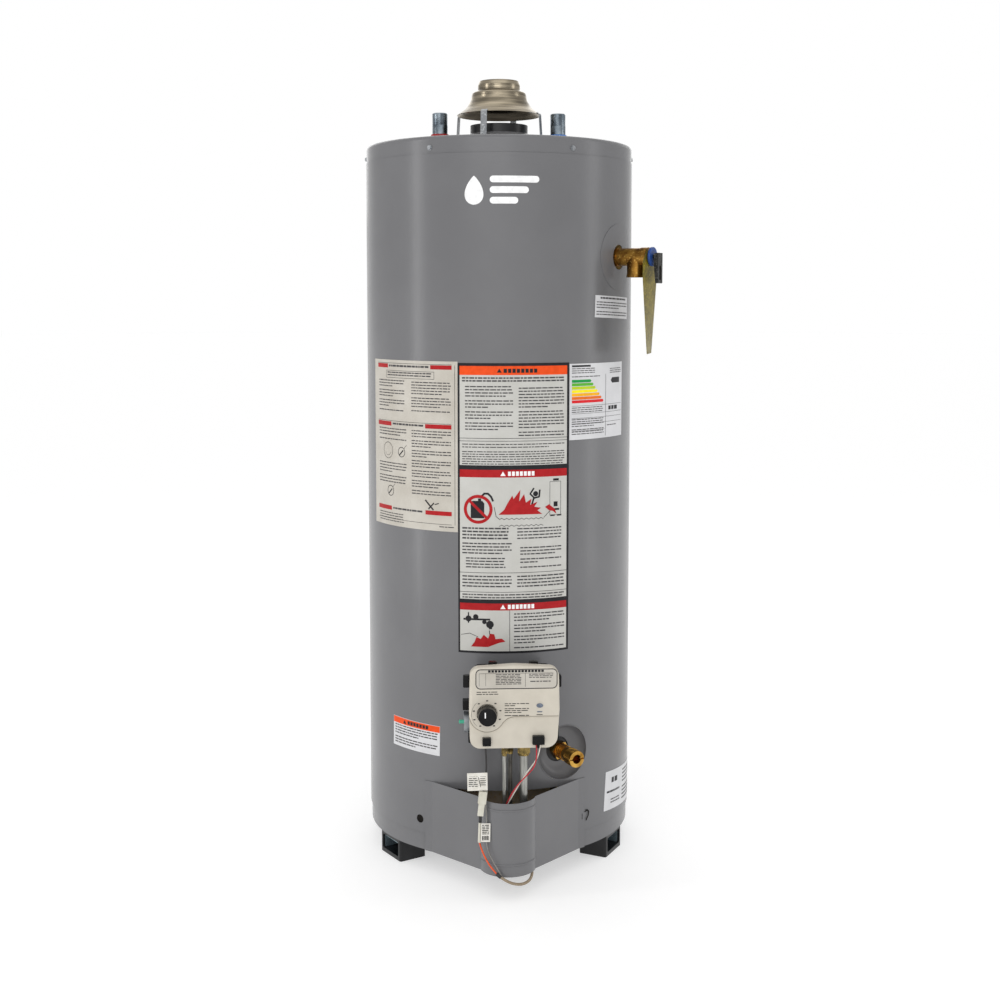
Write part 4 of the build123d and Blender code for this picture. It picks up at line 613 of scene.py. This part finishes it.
printing("label_left_pictograms", left_rules, BLACK)

# Energy label: arrows from green to red, each longer than the one above it
sticker("label_energy", rect(106.6, 243.4, 724, 847.5), PAPER_COOL)
ARROW_COLOURS = ("0a8f3e", "55a82b", "b3c81b", "f5de0a", "efaa0b", "de6a14", "cf1620")
for k, code in enumerate(ARROW_COLOURS):
    top, tip = 821.4 - 5.55 * k, 152.0 + 5.0 * k
    arrow = [(111, top - 4.6), (tip - 2.6, top - 4.6), (tip, top - 2.3), (tip - 2.6, top), (111, top)]
    printing(f"label_energy_bar_{k}", [arrow], ink(f"energy_ink_{k}", code))
energy_black = [[(202.6, 818), (207, 822.5), (232, 822.5), (232, 813.5), (207, 813.5)]]
energy_black += [rect(187.4, 188.1, 727, 829)]
energy_black += [rect(111, 240, z, z + 0.5) for z in (778.6, 766, 758.6, 750)]
energy_black += [rect(111, 185, 738, 738.5)]
energy_black += [rect(x0, x1, 769.5, 776) for x0, x1 in ((196, 203), (205, 212), (214, 224))]
energy_black += [rect(111, 150, 842, 845)]
printing("label_energy_black", energy_black, BLACK)
energy_text = words(111, 160, 840, 830, 3.4, 1.3) + words(200, 238, 838, 829, 3.2, 1.3)
energy_text += words(111, 172, 827, 823, 4, 1.4) + words(111, 180, 776.5, 768, 3.4, 1.3)
energy_text += words(111, 183, 757.5, 729, 3.6, 1.4, (3,)) + words(192, 222, 745, 741, 4, 1.4)
printing("label_energy_text", energy_text, GREY)

# Three stickers that were put on slightly askew, each turned about a point of its own
NOTICE_TILT, RELIEF_TILT, RATING_TILT = (-163, 229, -1.2), (160, 940, -2.2), (193.5, 120, -5.0)

# Small notice with an orange head
sticker("label_notice", turn_shapes([rect(-214.7, -112.5, 204, 254)], *NOTICE_TILT)[0], PAPER_COOL)
printing("label_notice_head", turn_shapes([rect(-214.2, -113, 243, 253.4)], *NOTICE_TILT), ORANGE)
notice_word = [triangle(-186, 245, 6)] + blocks(-179, 5, 6.5, 245.2, 251, 7)
printing("label_notice_word", turn_shapes(notice_word, *NOTICE_TILT), BLACK, OVER)
notice_text = words(-210, -117, 241, 206, 4.5, 1.9, (3, 6))
printing("label_notice_text", turn_shapes(notice_text, *NOTICE_TILT), GREY)

# Relief valve notice
sticker("label_relief", turn_shapes([rect(159.6, 269, 922, 958)], *RELIEF_TILT)[0], PAPER_COOL)
relief_text = words(172, 258, 955.5, 951, 5, 2.8) + words(163, 266, 948, 925, 4.4, 1.6, (2,))
printing("label_relief_text", turn_shapes(relief_text, *RELIEF_TILT), GREY)

# Rating plate
sticker("label_rating", turn_shapes([rect(193.5, 399, 86, 153)], *RATING_TILT)[0], PAPER_COOL)
rating_text = [rect(214, 222, 132, 141), rect(225, 236, 132, 141)] + words(200, 250, 119, 113, 6, 3.4)
rating_text += words(262, 392, 146, 92, 6.5, 2.6, (3,)) + words(214, 250, 104, 92, 5, 2.0)
printing("label_rating_text", turn_shapes(rating_text, *RATING_TILT), BLACK)

# Emblem: a drop, narrowing to a point at its top, and three bars
DROP_X, DROP_Z, DROP_WIDE, DROP_TALL = -52, 1122, 18.75, 22.5
drop = []
for k in range(39, -1, -1):
    a = radians(9 * k)
    narrowing = sin(a / 2) ** 0.8 if k else 0
    drop.append((DROP_X + DROP_WIDE * sin(a) * narrowing, DROP_Z + DROP_TALL * cos(a)))
bars = [rounded(-27, 52 - 17 * k, 1134 - 16.5 * k, 1144.5 - 16.5 * k, 5.2) for k in range(3)]
decal("emblem", [drop] + bars, BASE, WHITE, thick=STICKER_THICK)


# ---- printing on the gas control ------------------------------------------------------------------
COVER_FRONT, KNOB_X, KNOB_Z, KNOB_FRONT = -313.0, -35.5, 305.0, -332.0
face, face_over = flat(COVER_FRONT, 0.12), flat(COVER_FRONT, 0.2)
window = rounded(-53, 74, 345.5, 376, 7)
decal("control_window_frame", stroke(window + window[:1], 1.3), face_over, BLACK, step=0)
decal("control_window_paper", [window], face, PAPER_WARM, step=0)
control_text = words(-22, 18, 368.5, 350, 2.5, 1.2) + words(30, 68, 368.5, 360, 2.5, 1.1)
control_text += words(32, 64, 357.5, 354, 3, 1.6)
decal("control_window_text", control_text, face_over, GREY, thick=0.08, step=0)
window_box = blocks(-34, 4, 5.2, 371.4, 375, 17)
window_box += [rect(-48, 68, 369.6, 370.1), rect(-38, -37.6, 350, 369.6), rect(24, 24.5, 348, 369.6),
               rect(-48, -47.6, 350, 369.6)]
decal("control_window_box", window_box, face_over, BLACK, thick=0.08, step=0)

# The edge where the lower right part of the face steps back, with a strip of painted shade along it in place
# of the shadow under the step.
KNOB_RECESS_R = 28.4
step_line = [(76.5, 300.8), (8, 300.8), (2, 299.9), (-4, 297.4), (-8.5, 293.4)]
for degrees in range(-28, -178, -6):
    a = radians(degrees)
    step_line.append((KNOB_X + KNOB_RECESS_R * cos(a), KNOB_Z + KNOB_RECESS_R * sin(a)))
STEP_SHADE = surface("cover_painted_shade", rgb("8f8778"), rgb("857d6f"), 0.6, bump=0.05)
decal("control_step_shade", stroke(step_line, 1.0), flat(COVER_FRONT, 0.1), STEP_SHADE, step=0)

# Marks round the knob and blank lines of print
TICK_R = 21.5
ticks = []
for k in range(9):
    a = radians(-60 + 37.5 * k)
    cx, cz = KNOB_X + TICK_R * cos(a), KNOB_Z + TICK_R * sin(a)
    ticks.append(rect(cx - 1.6, cx + 1.6, cz - 0.9, cz + 0.9))
ticks += arc_band(KNOB_X, KNOB_Z, 24.3, 24.7, 130, 230, 14) + words(-52, -18, 341, 334, 3.4, 1.2)
ticks += words(-8, 30, 322, 300.5, 3.1, 1.2, (1, 4)) + words(42, 54, 303.8, 301, 3.4, 1.2)
decal("control_print", ticks, face, BLACK, thick=0.08, step=0)

pointer = rect(KNOB_X - 4.6, KNOB_X - 2.9, KNOB_Z - 1, KNOB_Z + 8)
decal("knob_pointer", [pointer], flat(KNOB_FRONT, 0.1), WHITE, "knob", step=0)

# ---- threads and small hardware ---------------------------------------------------------------------
PIPE_X, PIPE_FOOT, PIPE_BORE, PIPE_R = 101.6, 1189.5, 10.45, 13.34
nipple = [(0, PIPE_BORE), (0, PIPE_R), (58.5, PIPE_R)] + threaded(59, 78, 12.75)
nipple += [(78.6, 12.6), (79.3, 12.0), (79.3, PIPE_BORE)]
for node, x in (("hot_nipple", -PIPE_X), ("cold_nipple", PIPE_X)):
    lathe(node + "_pipe", place(x, 0, PIPE_FOOT), Vector((0, 0, 1)), nipple,
          M["pipe_zinc"], n=48, pitch=1.81, ridge=0.6, smooth=60, replaces=[node])

DRAIN_ANGLE, DRAIN_Z, HOSE_THREAD_FOOT, HOSE_THREAD_BORE = 24.8, 208, 249.5, 12.4
outward = polar(DRAIN_ANGLE, 1000, DRAIN_Z) - polar(DRAIN_ANGLE, 0, DRAIN_Z)
hose_thread = [(0, HOSE_THREAD_BORE), (0, 13.3)] + threaded(0.5, 18.5, 13.15)
hose_thread += [(19.2, 13.2), (20.1, 12.6), (20.1, HOSE_THREAD_BORE)]
lathe("drain_hose_thread", polar(DRAIN_ANGLE, HOSE_THREAD_FOOT, DRAIN_Z), outward, hose_thread,
      BRIGHT_BRASS, "drain_nozzle", n=48, pitch=2.2, ridge=0.75, smooth=60)

sleeve_run = place(-1.6, 0, -44) - place(0, 0, 0)
lathe("connector_sleeve", place(-45.6, -294.6, 136), sleeve_run,
      [(0, 1.2), (0, 2.35), (0.6, 2.5), (11, 2.5), (11.6, 2.3), (11.6, 1.2)],
      M["lead_black"], n=24)

# ---- print on the tags ------------------------------------------------------------------------------
UPPER_TAG_FRONT, LOWER_TAG_FRONT = -300.6, -299.9
tag_print = words(-64, -50, 205, 182, 3.2, 1.0) + stroke([(-49, 200), (-45, 184)], 0.8)
tag_print += words(-46, -37, 205, 184, 3.4, 0.9)
decal("lead_tag_print", tag_print, flat(UPPER_TAG_FRONT, 0), BLACK, thick=0.08, step=0)
# Bars that stand for a code, every third one wider
code_bars = [rect(-43 + 1.25 * k, -42.3 + 1.25 * k + (0 if k % 3 else 0.3), 97, 104) for k in range(9)]
code_bars += words(-43, -32, 122, 106, 2.8, 1.2)
decal("lead_tag_barcode", code_bars, flat(LOWER_TAG_FRONT, 0), BLACK, thick=0.08, step=0)

# ---- painted shade in the door's view hole and hook slot --------------------------------------------
# Near-black finish for painted shade: a disc just inside the door's view hole and a stroke in the shape of
# its hook slot, where their insides lie in shadow.
HOLE_SHADE = surface("hole_painted_shade", rgb("161412"), rgb("1f1c19"), 0.8, specular=0.1)
decal("view_hole_painted_shade", [disc(-152.4, 89.5, 9.5)], wrap(-0.85), HOLE_SHADE)
hook = [(141, 99), (146, 101.5), (150, 98), (149, 92), (144, 84)]
# The hook slot's opening, as a stroke of painted shade.
decal("door_hook_slot_painted_shade", stroke(hook, 2.2), wrap(1.75), HOLE_SHADE)

# ---- finish ---------------------------------------------------------------------------------------
# The floor glows a little, so that it is as white as the backdrop behind it.
FLOOR_R, FLOOR_GLOW = 40, 0.48
floor_mesh = bmesh.new()
bmesh.ops.create_circle(floor_mesh, cap_ends=True, segments=96, radius=FLOOR_R)
floor_data = bpy.data.meshes.new("floor")
floor_mesh.to_mesh(floor_data)
floor_mesh.free()
floor = bpy.data.objects.new("floor", floor_data)
bpy.context.scene.collection.objects.link(floor)
floor_paint = surface("floor_paint", (0.62, 0.62, 0.62), (0.61, 0.61, 0.61), 0.95, bump=0.0, specular=0.05)
floor_shader = floor_paint.node_tree.nodes["Principled BSDF"]
floor_shader.inputs["Emission Color"].default_value = (1, 1, 1, 1)
floor_shader.inputs["Emission Strength"].default_value = FLOOR_GLOW
floor_data.materials.append(floor_paint)
